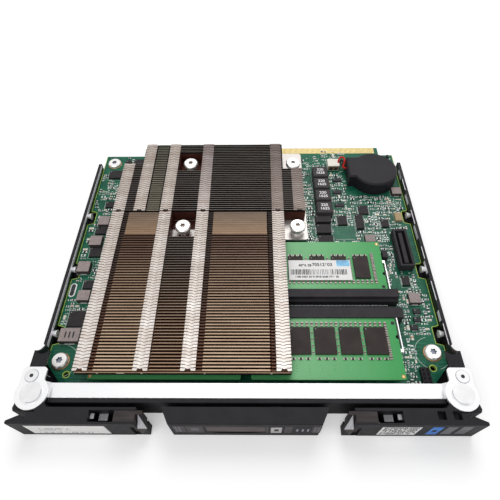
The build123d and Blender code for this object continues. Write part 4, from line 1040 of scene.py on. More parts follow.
def clear_of(box, blocked, margin=0.15):
    """Whether a footprint (low x, low y, high x, high y) misses all blocked footprints."""
    return all(
        box[2] + margin < other[0]
        or box[0] - margin > other[2]
        or box[3] + margin < other[1]
        or box[1] - margin > other[3]
        for other in blocked
    )


def footprint(box, margin=0.0):
    return (box[0][0] - margin, box[0][1] - margin, box[1][0] + margin, box[1][1] + margin)


# Where small parts stand: low x, low y, high x, high y, and how full the field is
FIELDS = (
    (-91.6, -39.5, -75.2, 60.8, 0.86),
    (-91.6, 60.8, -67.0, 79.5, 0.75),
    (-91.4, -55.0, -75.2, -39.5, 0.35),
    (33.4, 7.6, 60.2, 57.0, 0.88),
    (46.5, 57.0, 62.0, 85.5, 0.55),
    (60.2, 7.6, 91.4, 47.0, 0.86),
    (70.9, -29.0, 91.4, 7.6, 0.85),
    (75.4, -50.5, 91.0, -29.0, 0.85),
    (71.5, -73.0, 80.0, -50.5, 0.85),
    (-74.0, -73.6, -60.0, -70.2, 0.5),
    (20.0, 60.0, 46.0, 80.5, 0.6),
    (88.8, 47.0, 91.4, 78.0, 0.4),
)


# Places that stay bare: green mask, or parts that are placed one by one
QUIET = (
    (-92.0, 52.5, -88.0, 56.2), (-89.0, 35.7, -83.0, 41.8), (-94.0, 43.5, -91.0, 46.5),
    (75.3, -17.8, 77.2, -11.3), (89.6, -21.0, 92.0, 17.0), (48.6, 12.4, 59.8, 20.4),
    (83.9, 25.0, 88.7, 31.6), (79.5, -28.2, 84.7, -25.3), (-91.0, 4.9, -88.0, 21.9),
    (70.4, -2.5, 74.6, 2.5), (69.2, -10.8, 72.3, -5.7), (68.3, -17.0, 71.5, -13.3),
    (69.7, -47.1, 72.7, -43.4), (-95.0, -24.4, -87.6, -15.0),
)

# Margins round what stands on the board, and the stretch of board under the heatsink
PARTS_MARGIN = 0.35
SCREW_MARGIN = 3.4
RIVET_MARGIN = 1.0
MEMORY_MARGIN = -0.2
HEATSINK_FIELD = (7.0, 32.9, 62.0)
WALL_X = 91.4
NOTCH_BLOCK = (2.4, 5.4)


def board_blocks():
    """Footprints of everything that already stands on the board."""
    blocked = []
    for name in (
        "large_chips", "small_chips", "small_inductors", "inductors", "card_connector",
        "pin_header", "battery", "battery_plug", "processors",
    ):
        blocked += [footprint(box, PARTS_MARGIN) for box in solids(name)]
    for name, margin in (("board_screws", SCREW_MARGIN), ("rail_rivets", RIVET_MARGIN)):
        blocked += [footprint(box, margin) for box in solids(name)]
    for row in ("front", "rear"):
        for kind in ("socket", "memory_module"):
            blocked.append(footprint(node_box(f"{row}_right_{kind}"), MEMORY_MARGIN))
    near, right, far = HEATSINK_FIELD
    blocked.append((node_box("heatsink_base")[0][0], near, right, far))
    half_x, half_y = NOTCH_BLOCK
    for y in NOTCH_ROWS:
        for x in (-WALL_X, WALL_X):
            blocked.append((x - half_x, y - half_y, x + half_x, y + half_y))
    for x, y, width, depth in PLACED_CHIPS:
        blocked.append((x - width / 2, y - depth / 2 - 0.6, x + width / 2, y + depth / 2 + 0.6))
    return blocked + list(QUIET)


def small_part(shapes, kind, x, y, length, width, upright, top, ends_look="tin"):
    """A chip part with two end caps, or a bare pair of pads."""
    height = 0.45 * width + 0.12
    cap = 0.24 * length

    def local(low, high, z, look):
        if upright:
            shapes.box((x - width / 2, x + width / 2), (y + low, y + high), z, look)
        else:
            shapes.box((x + low, x + high), (y - width / 2, y + width / 2), z, look)

    pad = 0.12
    for sign in (-1, 1):
        ends = sorted((sign * (length / 2 + pad), sign * (length / 2 - cap)))
        local(*ends, (top, top + 0.05), ends_look)
    if kind == "pads":
        return
    for sign in (-1, 1):
        ends = sorted((sign * length / 2, sign * (length / 2 - cap)))
        local(*ends, (top, top + height), ends_look)
    local(-length / 2 + cap, length / 2 - cap, (top, top + height * 0.97), kind)


KINDS = (("resistor", 0.56), ("ceramic", 0.09), ("ceramic_pale", 0.13), ("pads", 0.22))
PART_GAP = 0.55
PART_SCATTER = 0.5
ROW_GAP = 0.42
UPRIGHT_SHARE = 0.45
FRAMED_SHARE = 0.6
VIA_SHARE = 0.7
SMALL_SIZES = ((1.2, 0.65), (1.6, 0.85), (2.1, 1.2), (1.2, 0.65), (1.6, 0.85))


def choose(rng, kinds):
    value = rng.random() * sum(weight for _, weight in kinds)
    for name, weight in kinds:
        value -= weight
        if value <= 0:
            return name
    return kinds[-1][0]


def small_parts():
    """Rows and groups of small parts, their pads, print lines and vias."""
    rng = random.Random(7)
    top = BOARD_TOP
    blocked = board_blocks()
    shapes = Shapes("tin", "resistor", "ceramic", "ceramic_pale", "print")
    for low_x, low_y, high_x, high_y, fullness in FIELDS:
        y = low_y + 0.5
        while y < high_y:
            x = low_x + rng.random() * 0.8
            row_height = 1.0
            while x < high_x:
                length, width = SMALL_SIZES[rng.randrange(len(SMALL_SIZES))]
                upright = rng.random() < UPRIGHT_SHARE
                wide, deep = (width, length) if upright else (length, width)
                x_middle, y_middle = x + wide / 2, y + deep / 2
                box = (x, y, x + wide, y + deep)
                inside = box[2] < high_x and box[3] < high_y + 0.6
                if inside and rng.random() < fullness and clear_of(box, blocked):
                    kind = choose(rng, KINDS)
                    small_part(shapes, kind, x_middle, y_middle, length, width, upright, top)
                    if rng.random() < FRAMED_SHARE:
                        outline(shapes, box, 0.26, top, 0.15)
                    row_height = max(row_height, deep + 0.3)
                elif inside and clear_of(box, blocked) and rng.random() < VIA_SHARE:
                    for _ in range(3):
                        vx = x + rng.random() * wide
                        vy = y + rng.random() * deep
                        shapes.collar((vx, vy), 0.12, 0.26, (top, top + 0.03), "tin", 8)
                x += wide + PART_GAP + rng.random() * PART_SCATTER
            y += row_height + ROW_GAP
    shapes.piece("small_part_field")


def outline(shapes, box, margin, top, width=0.13, look="print"):
    """A printed frame round a footprint."""
    low_x, low_y = box[0] - margin, box[1] - margin
    high_x, high_y = box[2] + margin, box[3] + margin
    z = (top, top + 0.03)
    for y in (low_y, high_y - width):
        shapes.box((low_x, high_x), (y, y + width), z, look)
    for x in (low_x, high_x - width):
        shapes.box((x, x + width), (low_y, high_y), z, look)


def centred(low, high, pitch):
    """Places at a pitch, centred along a chip's side."""
    count = int((high - low - 0.4) / pitch)
    first = (low + high) / 2 - (count - 1) * pitch / 2
    return [first + index * pitch for index in range(count)]


def chip_legs(shapes, box, top, along_x, along_y):
    """Rows of legs on the sides of a chip, and a dot on its top."""
    (low_x, low_y, _), (high_x, high_y, high_z) = box
    pitch, leg, out = 0.65, 0.3, 0.55
    z = (top, top + 0.25)
    if along_x:
        for x in centred(low_x, high_x, pitch):
            shapes.box((x - leg / 2, x + leg / 2), (low_y - out, low_y), z, "tin")
            shapes.box((x - leg / 2, x + leg / 2), (high_y, high_y + out), z, "tin")
    if along_y:
        for y in centred(low_y, high_y, pitch):
            shapes.box((low_x - out, low_x), (y - leg / 2, y + leg / 2), z, "tin")
            shapes.box((high_x, high_x + out), (y - leg / 2, y + leg / 2), z, "tin")
    shapes.collar((low_x + 0.8, high_y - 0.8), 0.12, 0.3, (high_z, high_z + 0.02), "soft_ink", 12)


BOARD_RINGS = ((-82.2, -64.2), (84.9, -60.9))
SLOT_PLACE = (-90.3, -19.7)
SLOT_HALF = 2.4


def dress_board():
    """Legs of the chips, terminals of the inductors, rims, rings and printed frames."""
    top = BOARD_TOP
    shapes = Shapes("tin", "print", "laminate", "soft_ink", "recess")
    for box in solids("large_chips"):
        wide, deep = box[1][0] - box[0][0], box[1][1] - box[0][1]
        square = abs(wide - deep) < 0.5
        chip_legs(shapes, box, top, square, True)
        outline(shapes, footprint(box), 0.9, top)
    for box in solids("small_chips"):
        chip_legs(shapes, box, top, False, True)
        outline(shapes, footprint(box), 0.8, top)
    for box in solids("small_inductors") + solids("inductors"):
        (low_x, low_y, _), (high_x, high_y, _) = box
        mid_x, wide = (low_x + high_x) / 2, (high_x - low_x) * 0.5
        for y in ((low_y - 0.5, low_y), (high_y, high_y + 0.5)):
            shapes.box((mid_x - wide / 2, mid_x + wide / 2), y, (top, top + 0.3), "tin")
        outline(shapes, footprint(box), 0.5, top)
    for x, y in BOARD_RINGS:
        shapes.collar((x, y), 1.3, 1.75, (top, top + 0.04), "laminate", 28)
    slot_x, slot_y = SLOT_PLACE
    # The slot's inside is dark painted shade within its tin rim.
    for radius, z, look in ((1.7, (top, top + 0.05), "tin"), (1.05, (top + 0.05, top + 0.07), "recess")):
        rim = [(slot_x + px, slot_y + math.copysign(SLOT_HALF, py) + py) for px, py in ring(radius, 28)]
        shapes.slab(rim, z, look)
    shapes.piece("board_dressing")


def board_rim():
    """The bare laminate rim that shows round the board's upper edge."""
    half, rear = node_box("main_board")[1][:2]
    shapes = Shapes("laminate")
    for side in (-1, 1):
        points = [(side * (half - 0.2), -61.0)]
        for y in NOTCH_ROWS:
            for x, step in ((0, -5.2), (NOTCH_DEPTH, -4.2), (NOTCH_DEPTH, 4.2), (0, 5.2)):
                points.append((side * (half - x - 0.2), y + step))
        points.append((side * (half - 0.2), rear - 7.8))
        for (x1, y1), (x2, y2) in zip(points, points[1:]):
            length = math.dist((x1, y1), (x2, y2))
            turn = math.atan2(y2 - y1, x2 - x1)
            mid_x, mid_y = (x1 + x2) / 2, (y1 + y2) / 2
            shapes.box(
                (mid_x - length / 2, mid_x + length / 2),
                (mid_y - RIM_WIDTH / 2, mid_y + RIM_WIDTH / 2),
                (BOARD_TOP, BOARD_TOP + 0.03), "laminate", turn,
            )
    shapes.piece("board_rim")


# Memory

# Height of a module's board, and its chips: count, depth, then pitch, width and reach by row
MODULE_TOP = 11.1
CHIP_COUNT = 5
CHIP_DEPTH = 13.1
PACKED_CHIPS = {"rear": (11.2, 7.6, 16.6), "front": (11.6, 9.7, 18.0)}
CHIP_SKIN = 0.03
RESISTOR_GAP = {"rear": 1.1, "front": 2.0}
WIDE_GAP = 2.6

# Rows along a module: first place, pitch and count
ARRAY_ROW = (3.2, 2.28, 27)
VIA_COLUMNS = (3.4, 5.6, 12)
PAD_ROW = (2.0, 0.64, 100)
TICK_ROW = (-32.0, 0.645, 100)
VIA_ROWS = {"front": (3.4, 4.8, 6.2, 9.0, 10.3), "rear": (1.6, 2.9)}
PAD_WIDTH = 0.36
TICK_WIDTH = 0.28
SOCKET_MIDDLE = 36.1
EDGE_COLUMN = 5.2
CORNER = 1.2

# Round holes in the right modules, mirrored at the left, and posts of the right latches
MODULE_HOLES = {"rear": (68.0, -21.5), "front": (68.6, -41.4)}
POST_HEIGHT = 4.1
POSTS = (
    ((71.5, 74.3), (-2.2, 2.2)), ((70.2, 72.2), (-10.5, -6.0)),
    ((70.2, 71.9), (-16.7, -13.6)), ((70.2, 72.4), (-46.8, -43.7)),
)


def row_of(start, pitch, count):
    """Evenly spaced places."""
    return [start + index * pitch for index in range(count)]


def dress_module(row, side):
    """Chips, passives, contact pads and gold dots of one memory module."""
    name = f"{row}_{side}_memory_module"
    low, high = node_box(name)
    facing = 1 if row == "rear" else -1
    centre_x = (low[0] + high[0]) / 2
    far_y, near_y = (high[1], low[1]) if facing > 0 else (low[1], high[1])
    pitch, width, reach = PACKED_CHIPS[row]
    half = CHIP_DEPTH / 2
    chip_y = far_y - facing * reach
    rng = random.Random(11 + facing)
    shapes = Shapes(
        "chip_warm", "terminal", "resistor", "array", "gold", "soft_ink", "via", "copper_ring"
    )

    def part(kind, x, y, length, width, upright=True):
        small_part(shapes, kind, x, y, length, width, upright, MODULE_TOP, "terminal")

    def dot(centre, inner, outer, lift, look, sides):
        shapes.collar(centre, inner, outer, (MODULE_TOP, MODULE_TOP + lift), look, sides)

    chips = [centre_x + (index - (CHIP_COUNT - 1) / 2) * pitch for index in range(CHIP_COUNT)]
    top = high[2] + CHIP_SKIN
    for x in chips:
        across, along = width / 2 + CHIP_SKIN, half + CHIP_SKIN
        sides = (x - across, x + across), (chip_y - along, chip_y + along)
        shapes.box(*sides, (MODULE_TOP, top), "chip_warm")
        mark = (x - width / 2 + 0.9, chip_y + half - 0.9)
        shapes.collar(mark, 0.14, 0.3, (top, top + 0.015), "soft_ink", 12)
    for x in chips:
        for step in (-1, 0, 1):
            y = chip_y + facing * (half + RESISTOR_GAP[row])
            part("resistor", x + step * width * 0.34, y, 1.9, 0.9, False)
    for x in row_of(low[0] + ARRAY_ROW[0], *ARRAY_ROW[1:]):
        part("array", x, chip_y - facing * (half + 1.9), 1.9, 1.1)
    for x in row_of(low[0] + VIA_COLUMNS[0], *VIA_COLUMNS[1:]):
        for step in VIA_ROWS[row]:
            y = chip_y + facing * (half + step + 1.6)
            if low[1] + 1 < y < high[1] - 1:
                dot((x, y), 0.05, 0.26, 0.02, "via", 8)
    wide = pitch - width > WIDE_GAP
    for x in chips[:-1]:
        for step in range(8):
            if wide or step % 2 == 0:
                kind = "resistor" if rng.random() < 0.5 else "array"
                y = chip_y - half + 0.9 + step * 1.6
                part(kind, x + pitch / 2, y, 1.2, 0.9 if wide else 0.6)
    outer, inward = (high[0], -1) if side == "right" else (low[0], 1)
    for step in range(10):
        y = chip_y + facing * (8.2 - step * 1.7)
        part("array" if step % 3 else "resistor", outer + inward * EDGE_COLUMN, y, 1.1, 1.4)
    corner = (outer + inward * CORNER, far_y - facing * 1.5)
    dot(corner, 0.45, 0.85, 0.05, "copper_ring", 20)
    dot(corner, 0.05, 0.45, 0.04, "gold", 20)
    hole_x, hole_y = MODULE_HOLES[row]
    dot((-inward * hole_x, hole_y), 0.05, 0.9, 0.03, "resistor", 24)
    shapes.piece(f"{name}_parts", bevel=0.05)
    pads = Shapes("gold")
    ends = sorted((near_y + facing * 0.3, near_y + facing * 3.2))
    for x in row_of(low[0] + PAD_ROW[0], *PAD_ROW[1:]):
        pads.box((x, x + PAD_WIDTH), ends, (MODULE_TOP, MODULE_TOP + 0.03))
    pads.piece(f"{name}_contacts")


def module_label():
    """The white label over three chips of the rear right module, with plain numbers and bars."""
    x, y = (21.2, 52.8), (-18.3, -6.3)
    top = node_box("rear_right_memory_module")[1][2] + 0.06
    shapes = Shapes("label", "ink", "soft_ink", "holo")
    shapes.box(x, y, (top, top + 0.1), "label")
    shapes.box((x[1] - 7.0, x[1] - 0.4), (y[1] - 3.7, y[1] - 0.1), (top + 0.1, top + 0.12), "holo")
    rng = random.Random(3)
    bar_x = x[0] + 1.0
    while bar_x < x[1] - 2.6:
        width = 0.16 + 0.34 * rng.random()
        dense = bar_x < x[0] + 11 or bar_x > x[1] - 8
        look = "ink" if dense or rng.random() < 0.3 else "soft_ink"
        shapes.box((bar_x, bar_x + width), (y[0] + 3.2, y[0] + 6.4), (top + 0.1, top + 0.115), look)
        bar_x += width + (0.14 if dense else 0.26) + 0.3 * rng.random()
    shapes.piece("module_label")
    z = top + 0.12
    for name, text, size, place, look in (
        ("label_numbers_1", "4096 28", 2.0, (x[0] + 8.4, y[1] - 3.2, z), "ink"),
        ("label_numbers_2", "70512603", 2.6, (x[0] + 17.2, y[1] - 2.8, z), "ink"),
        ("label_numbers_3", "1180 0427 3365 0918 2240 7716 05", 1.5, (x[0] + 14.0, y[0] + 1.9, z), "ink"),
    ):
        write(name, text, size, place, look)


def dress_sockets():
    """Contact ticks along the sockets, and dark posts of the module latches at the right."""
    shapes = Shapes("recess", "socket", "soft_ink")
    for side in (-1, 1):
        for x in row_of(side * SOCKET_MIDDLE + TICK_ROW[0], *TICK_ROW[1:]):
            shapes.box((x, x + TICK_WIDTH), (-32.1, -31.4), (10.2, 10.45), "soft_ink")
            # The dark ticks are the contact slots in painted shade.
            shapes.box((x, x + TICK_WIDTH), (-23.3, -23.05), (11.6, 11.9), "recess")
    for x, y in POSTS:
        shapes.box(x, y, (BOARD_TOP, BOARD_TOP + POST_HEIGHT), "socket")
    shapes.piece("socket_contacts", bevel=0.1)


# Front: latches, labels and the centre bezel's face


def lever_label(side, x, look_rows, name):
    """A printed label in its recess on a lever's front face."""
    front = node_box(f"{side}_lever")[0][1]
    shapes = Shapes("label", "ink", "soft_ink")
    shapes.box(x, (front + 0.06, front + 0.22), (1.8, 14.4), "label")
    rng = random.Random(5)
    for start, end, z_low, z_high, density, look in look_rows:
        mark_x = start
        while mark_x < end:
            width = 0.25 + 0.5 * rng.random()
            if rng.random() < density:
                shapes.box((mark_x, mark_x + width), (front + 0.045, front + 0.06), (z_low, z_high), look)
            mark_x += width + 0.18
    shapes.piece(name, f"{side}_lever")


# Labels: rows of marks as start, end, low z, high z, density and look
LEFT_MARKS = (
    (-85.6, -71.9, 9.1, 10.3, 0.75, "soft_ink"), (-85.6, -71.9, 7.2, 8.3, 0.75, "soft_ink"),
    (-87.3, -64.8, 2.9, 4.4, 0.75, "soft_ink"),
)
RIGHT_MARKS = [(56.2, 69.8, 2.6 + row * 1.05, 3.35 + row * 1.05, 0.8, "ink") for row in range(11)]

# Plates on the right lever's face as low x, high x, low z, high z, and painted light patches in both windows
# for the lit floor seen through them
BLUE_PATCH = (75.1, 79.5, 3.3, 15.0)
RAISED_PANELS = ((81.0, 85.0, 4.1, 15.4), (86.8, 91.0, 4.8, 16.0))
WINDOW_LIGHT_PATCHES = (((56.7, 60.4), (-86.1, -83.4), (12.0, 12.5)), ((61.6, 63.05), (-86.1, -84.0), (14.6, 15.5)))


def lever_faces():
    """Labels and moulded panels on the levers' front faces, and painted light in their windows for the floor
    seen through them.
    """
    lever_label("left", (-90.3, -57.3), LEFT_MARKS, "left_lever_label")
    lever_label("right", (55.2, 71.1), RIGHT_MARKS, "right_lever_label")
    front = node_box("right_lever")[0][1]
    shapes = Shapes("blue", "raised_panel", "ink", "painted_light")
    low_x, high_x, low_z, high_z = BLUE_PATCH
    shapes.box((low_x, high_x), (front - 0.05, front + 0.05), (low_z, high_z), "blue")
    shapes.box((low_x + 1.3, high_x - 1.3), (front - 0.07, front), (7.5, 10.4), "ink")
    for low_x, high_x, low_z, high_z in RAISED_PANELS:
        shapes.box((low_x, high_x), (front - 0.05, front + 0.05), (low_z, high_z), "raised_panel")
    for x, y, z in WINDOW_LIGHT_PATCHES:
        shapes.box(x, y, z, "painted_light")
    shapes.piece("right_lever_panels", "right_lever")
    stops = Shapes("painted_light")
    for x, y, z in WINDOW_LIGHT_PATCHES:
        stops.box((-x[1], -x[0]), y, z)
    stops.piece("left_lever_window_light", "left_lever")


# The latch's sloping nose: heights of its foot and top, and its length
NOSE_FOOT = 10.55
NOSE_TOP = 17.6
NOSE_LENGTH = 4.1


def side_name(side, part):
    """The name of a part at the left (-1) or at the right (1)."""
    return f"{'left' if side < 0 else 'right'}_{part}"


def latch_facets():
    """The painted highlight on each latch's sloping nose: a light grey triangle over a black plate."""
    for side in (-1, 1):
        name = side_name(side, "latch")
        low, high = node_box(name)
        nose = high[0] if side < 0 else low[0]
        root = nose + side * NOSE_LENGTH
        front, rear = low[1] + 0.1, low[1] + 3.9
        slope = [
            (nose + side * 0.15, front, NOSE_FOOT), (root, front, NOSE_FOOT),
            (root, rear, NOSE_TOP), (nose + side * 1.45, rear, NOSE_TOP),
        ]
        apex = (nose + side * 3.0, rear, NOSE_TOP)
        shapes = Shapes("painted_light", "black_plastic")
        plate(shapes, slope, (0.0, 0.03), "black_plastic")
        plate(shapes, [slope[0], slope[1], apex], (0.03, 0.06), "painted_light")
        shapes.piece(f"{name}_facet", name)


def plate(shapes, outline_points, lifts, look):
    """A thin plate on the sloping nose, between two lifts off it."""
    count = len(outline_points)
    points = [(x, y - lift, z + lift) for lift in lifts for x, y, z in outline_points]
    shapes.add(points, prism_faces(count), look)


# The lever's toe under the latch's sloping nose: distance from the lever's end, and height
TOE = ((-3.6, 0.3), (3.4, 0.3), (3.4, 0.9), (0.1, 0.9), (-3.6, 8.6))


def lever_toes():
    """The levers' inner lower ends, under the noses of the latches."""
    for side in (-1, 1):
        name = side_name(side, "lever")
        low, high = node_box(name)
        end = high[0] if side < 0 else low[0]
        points = [(end + side * reach, y, z) for y in (low[1] + 0.05, low[1] + 3.8) for reach, z in TOE]
        toe = Shapes("black_plastic")
        toe.add(points, prism_faces(len(TOE)), "black_plastic")
        toe.piece(f"{name}_toe", name)


# Plates on the centre bezel's face: low x, high x, low z, high z
BEZEL_PANELS = (
    (-29.3, -24.6, 5.0, 14.9), (-24.2, -17.2, 5.0, 14.9), (8.5, 9.5, 5.0, 14.9),
    (16.1, 19.2, 5.0, 14.9), (27.4, 31.0, 5.0, 14.9), (-16.6, 8.1, 13.5, 14.9),
)
BEZEL_RIDGES = (
    (-27.4, -26.6, 6.2, 14.2), (-28.7, -28.1, 6.2, 14.2), (28.2, 28.8, 6.2, 14.2),
    (29.6, 30.2, 6.2, 14.2), (-22.3, -19.1, 8.0, 12.3), (19.6, 27.0, 5.6, 14.4),
)
SLOT_X = (-16.0, 8.1)


def bezel_face():
    """Grey plates, ridges and plain marks on the centre bezel."""
    front = node_box("centre_bezel")[0][1]
    shapes = Shapes("panel", "slot_lining", "raised_panel", "ink", "soft_ink")
    for low_x, high_x, low_z, high_z in BEZEL_PANELS:
        shapes.box((low_x, high_x), (front - 0.04, front + 0.05), (low_z, high_z), "panel")
    for low_x, high_x, low_z, high_z in BEZEL_RIDGES:
        look = "ink" if high_x - low_x > 5 else "raised_panel"
        shapes.box((low_x, high_x), (front - 0.07, front + 0.05), (low_z, high_z), look)
    for x in (21.0, 23.2, 25.4):
        shapes.box((x, x + 0.7), (front - 0.09, front), (7.4, 11.0), "soft_ink")
    shapes.box(SLOT_X, (front + 0.02, front + 0.12), (6.4, 13.2), "slot_lining")
    shapes.piece("bezel_marks")
    button = Shapes("recess")
    face = node_box("push_button")[0][1]
    button.box((11.9, 13.7), (face - 0.04, face + 0.05), (7.2, 10.6), "recess")
    button.piece("button_mark", "push_button")


CREASE_X = 83.3
CREASE_HALF = 0.45


def front_marks():
    """Painted shade: lines in the creases of the crossbar's ends, rings round the ear rivets, crescents on
    the pins' heads and the rivets' dark centres.
    """
    shapes = Shapes("shade_line", "recess")
    plate = node_box("crossbar")[1][2]
    for side in (-1, 1):
        pin = node_box(side_name(side, "pivot_pin"))
        arc = (-105, 20) if side < 0 else (160, 285)
        top = pin[1][2]
        shapes.collar(middle(pin)[:2], 4.0, 4.3, (top, top + 0.03), "shade_line", 40, arc)
        x = side * CREASE_X
        shapes.box((x - CREASE_HALF, x + CREASE_HALF), (-80.0, -73.3), (plate - 1.0, plate - 0.96), "shade_line")
    for box in solids_by_place("corner_rivets"):
        x, y, _ = middle(box)
        shapes.collar((x, y), 2.62, 2.95, (plate, plate + 0.03), "shade_line", 36)
        shapes.collar((x, y), 0.02, 0.8, (box[1][2], box[1][2] + 0.03), "recess", 20)
    shapes.piece("crossbar_marks")


def battery_leads():
    """The two short leads: loops from the plug to the battery's flat side."""
    low, high = node_box("battery_plug")
    tail = node_box("battery")[0][0]
    right = high[0] - 0.3
    red = [
        (right, 69.0, 7.2), (right - 0.2, 71.0, 9.2), (right + 0.9, 73.2, 10.3),
        (right + 2.7, 73.5, 10.4), (right + 3.6, 71.6, 10.0), (tail - 0.8, 69.2, 9.4),
        (right + 2.4, 67.4, 9.0), (right + 2.7, 66.2, 8.6), (tail + 0.5, 65.6, 8.4),
    ]
    black = [
        (right, 68.0, 6.9), (right + 0.8, 70.2, 8.6), (right + 1.6, 71.8, 9.4),
        (right + 2.6, 71.2, 9.4), (right + 2.5, 69.6, 9.0), (right + 1.9, 68.4, 8.4),
        (right + 2.9, 67.2, 8.0), (tail + 0.5, 66.9, 7.8),
    ]
    for colour, look, knots in (("red", "red", red), ("black", "black_wire", black)):
        made = wire(f"{colour}_lead_loop", loop_through(knots), 0.55, look)
        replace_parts(made, f"{colour}_lead")
    # The plug's front face in painted shade, its two holes as darker painted shade.
    face = Shapes("shadow_brown", "recess")
    face.box((low[0] + 0.3, high[0] - 0.3), (low[1] - 0.04, low[1] + 0.05), (low[2] + 0.2, high[2] - 0.5))
    for share in (0.3, 0.7):
        x = low[0] + share * (high[0] - low[0])
        face.box((x - 0.7, x + 0.7), (low[1] - 0.08, low[1]), (low[2] + 0.6, high[2] - 1.4), "recess")
    face.piece("plug_face")


FINGER_PITCH = 0.8
FINGER_WIDTH = 0.6


def contact_fingers():
    """Fine gold fingers on the board's rear edge."""
    low, high = node_box("edge_contacts")
    shapes = Shapes("gold")
    for x in row_of(low[0], FINGER_PITCH, int((high[0] - low[0]) / FINGER_PITCH) + 1):
        for z in ((low[2], low[2] + 0.05), (high[2] - 0.05, high[2])):
            shapes.box((x, min(x + FINGER_WIDTH, high[0])), (low[1], high[1]), z)
    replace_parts(shapes.piece("edge_fingers"), "edge_contacts")


# Chips that are placed one by one: middle x and y, width, depth
PLACED_CHIPS = (
    (54.5, 58.3, 5.0, 2.5),
    (53.4, 48.0, 5.0, 2.5),
    (53.8, 37.7, 5.0, 2.5),
    (83.6, -32.4, 3.5, 2.5),
    (82.8, -36.8, 3.5, 2.5),
    (80.5, -41.0, 3.5, 2.5),
)


def placed_parts():
    """Parts of the board that are placed one by one: crystal, capacitors, marks."""
    top = BOARD_TOP
    shapes = Shapes("tan", "ceramic_pale", "resistor", "tin", "ink", "print", "socket", "soft_ink")
    shapes.box((84.3, 88.3), (25.4, 31.2), (top, top + 1.4), "tan")
    outline(shapes, (84.3, 25.4, 88.3, 31.2), 0.4, top)
    for x in (80.3, 82.1, 83.9):
        small_part(shapes, "ceramic_pale", x, -26.7, 2.4, 1.2, True, top)
    for x, y in ((-89.5, 20.7), (-89.1, 12.9), (-89.6, 5.9)):
        small_part(shapes, "ceramic_pale", x, y, 2.5, 1.2, False, top)
        small_part(shapes, "resistor", x, y - 1.7, 2.3, 1.1, False, top)
    for x, y, width, depth in PLACED_CHIPS:
        low, high = (x - width / 2, y - depth / 2, top), (x + width / 2, y + depth / 2, top + 1.2)
        shapes.box((low[0], high[0]), (low[1], high[1]), (top, high[2]), "resistor")
        chip_legs(shapes, (low, high), top, True, False)
    shapes.box((49.2, 59.5), (12.7, 12.9), (top, top + 0.03), "print")
    shapes.box((88.3, 89.6), (77.5, 79.5), (top, top + 2.0), "socket")
    widest = max(solids("small_inductors"), key=lambda box: box[1][0] - box[0][0])
    for share in (0.3, 0.5, 0.7):
        x = widest[0][0] + share * (widest[1][0] - widest[0][0])
        y = middle(widest)[1]
        shapes.box((x - 0.35, x + 0.35), (y - 1.6, y + 1.6), (widest[1][2], widest[1][2] + 0.02), "ink")
    shapes.piece("placed_parts", bevel=0.06)
    for index, box in enumerate(solids("inductors")):
        x, y, _ = middle(box)
        write(
            f"inductor_numbers_{index + 1}", "220\n1625", 2.7, (x, y, box[1][2] + 0.02),
            "label",
        )


# Painted highlight streaks on the right wall: start and end as shares of a step, and whether on its inner
# face
STREAKS = (
    (0.05, 0.95, False), (0.10, 0.55, True), (0.0, 0.9, False), (0.35, 0.95, True),
    (0.05, 0.70, False), (0.20, 0.95, True), (0.0, 0.85, False), (0.30, 0.90, True),
    (0.15, 0.90, False), (0.0, 0.60, True),
)
SHEEN_ENDS = (-52.0, 69.0)
WALL_FACE = 93.02


def rail_edges():
    """The painted sheen on the side walls: one long reflection at the left over a painted green reflection
    of the board, broken streaks right.
    """
    shapes = Shapes("wall_sheen", "wall_board_reflection")
    low, high = SHEEN_ENDS
    shapes.box((-WALL_FACE, -92.9), (low, high), (7.1, 8.8), "wall_sheen")
    # Dark green band on the left wall's inner face: painted reflection of the board.
    shapes.box((-WALL_FACE, -92.92), (low, high), (5.1, 7.0), "wall_board_reflection")
    step = (high - low) / len(STREAKS)
    for index, (start, end, inner) in enumerate(STREAKS):
        y = (low + (index + start) * step, low + (index + end) * step)
        if inner:
            shapes.box((92.9, WALL_FACE), y, (6.6, 8.6), "wall_sheen")
        else:
            shapes.box((93.1, 93.4), y, (8.79, 8.85), "wall_sheen")
    shapes.piece("rail_sheen")


# Camera, light and floor

FOCAL_PIXELS = 427.056
FRAME_PIXELS = 500
SENSOR = 36.0
CAMERA_PLACE = (4.720, -131.571, 194.917)
CAMERA_PITCH = math.radians(54.158)
CAMERA_YAW = math.radians(-1.478)
CAMERA_ROLL = math.radians(1.318)
ROOM_LIGHT = 0.42
FLOOR_LIFT = 0.34
FLOOR_HALF = 3.0


def make_camera():
    """The camera stands where the photograph's fit says."""
    data = bpy.data.cameras.new("camera")
    data.sensor_width = SENSOR
    data.lens = FOCAL_PIXELS * SENSOR / FRAME_PIXELS
    data.clip_start = 0.01
    forward = Vector(
        (
            math.sin(CAMERA_YAW) * math.cos(CAMERA_PITCH),
            math.cos(CAMERA_YAW) * math.cos(CAMERA_PITCH),
            -math.sin(CAMERA_PITCH),
        )
    )
    right = Vector((math.cos(CAMERA_YAW), -math.sin(CAMERA_YAW), 0))
    down = forward.cross(right)
    across = math.cos(CAMERA_ROLL) * right + math.sin(CAMERA_ROLL) * down
    below = -math.sin(CAMERA_ROLL) * right + math.cos(CAMERA_ROLL) * down
    turn = Matrix((across, -below, -forward)).transposed()
    camera = bpy.data.objects.new("camera", data)
    bpy.context.scene.collection.objects.link(camera)
    camera.matrix_world = Matrix.Translation(Vector(CAMERA_PLACE) * MM) @ turn.to_4x4()
    bpy.context.scene.camera = camera


def soft_lamp(name, place, power, size, aim=(0, 0, 0)):
    data = bpy.data.lights.new(name, "AREA")
    data.energy = power
    data.size = size
    lamp = bpy.data.objects.new(name, data)
    lamp.location = place
    lamp.rotation_euler = (Vector(aim) - Vector(place)).to_track_quat("-Z", "Y").to_euler()
    bpy.context.scene.collection.objects.link(lamp)


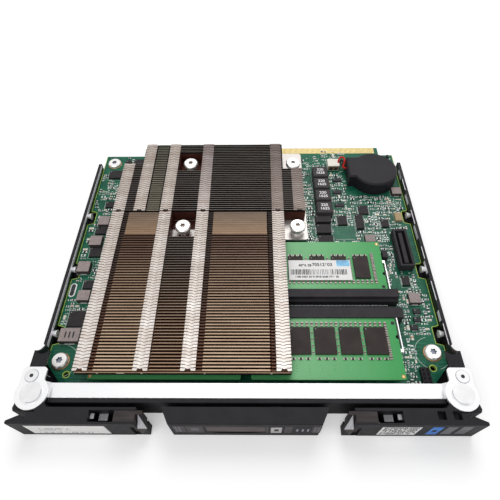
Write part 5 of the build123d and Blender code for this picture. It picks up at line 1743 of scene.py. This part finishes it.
def make_world():
    """A white room: full white to the camera and in reflections, softer as light."""
    world = bpy.data.worlds.new("room")
    bpy.context.scene.world = world
    world.use_nodes = True
    tree = world.node_tree
    background = tree.nodes["Background"]
    path = tree.nodes.new("ShaderNodeLightPath")
    seen = path.outputs["Is Camera Ray"]
    for ray in ("Is Transmission Ray", "Is Glossy Ray"):
        seen = calculate(tree, "MAXIMUM", seen, path.outputs[ray])
    background.inputs["Color"].default_value = (1, 1, 1, 1)
    tree.links.new(spread(tree, seen, ROOM_LIGHT, 1.0), background.inputs["Strength"])


def make_floor():
    """A plain white floor that keeps the soft shadow under the front."""
    mesh = bpy.data.meshes.new("floor")
    corners = [(x * FLOOR_HALF, y * FLOOR_HALF, 0) for x, y in ((-1, -1), (1, -1), (1, 1), (-1, 1))]
    mesh.from_pydata(corners, [], [(0, 1, 2, 3)])
    floor = bpy.data.objects.new("floor", mesh)
    bpy.context.scene.collection.objects.link(floor)
    made, tree, shader = new_material("white_floor")
    shader.inputs["Base Color"].default_value = (0.88, 0.88, 0.88, 1)
    shader.inputs["Roughness"].default_value = 0.9
    shader.inputs["Specular IOR Level"].default_value = 0.1
    path = tree.nodes.new("ShaderNodeLightPath")
    lift = calculate(tree, "MULTIPLY", path.outputs["Is Camera Ray"], FLOOR_LIFT)
    tree.links.new(lift, shader.inputs["Emission Strength"])
    shader.inputs["Emission Color"].default_value = (1, 1, 1, 1)
    mesh.materials.append(made)


dress_nodes()
front_fins()
rear_fins()
tab_strips()
heatsink_screws()
board_screws()
dress_board()
board_rim()
small_parts()
for module_row in ("front", "rear"):
    for module_side in ("left", "right"):
        dress_module(module_row, module_side)
module_label()
dress_sockets()
lever_faces()
latch_facets()
lever_toes()
bezel_face()
front_marks()
rail_edges()
pocket_plates()
battery_leads()
contact_fingers()
placed_parts()
make_camera()
make_world()
make_floor()
soft_lamp("rear_softbox", (0.10, 0.45, 0.75), 2.7, 0.5)
soft_lamp("front_softbox", (-0.25, -0.55, 0.70), 1.9, 0.6)
bpy.context.scene.view_settings.view_transform = "Standard"
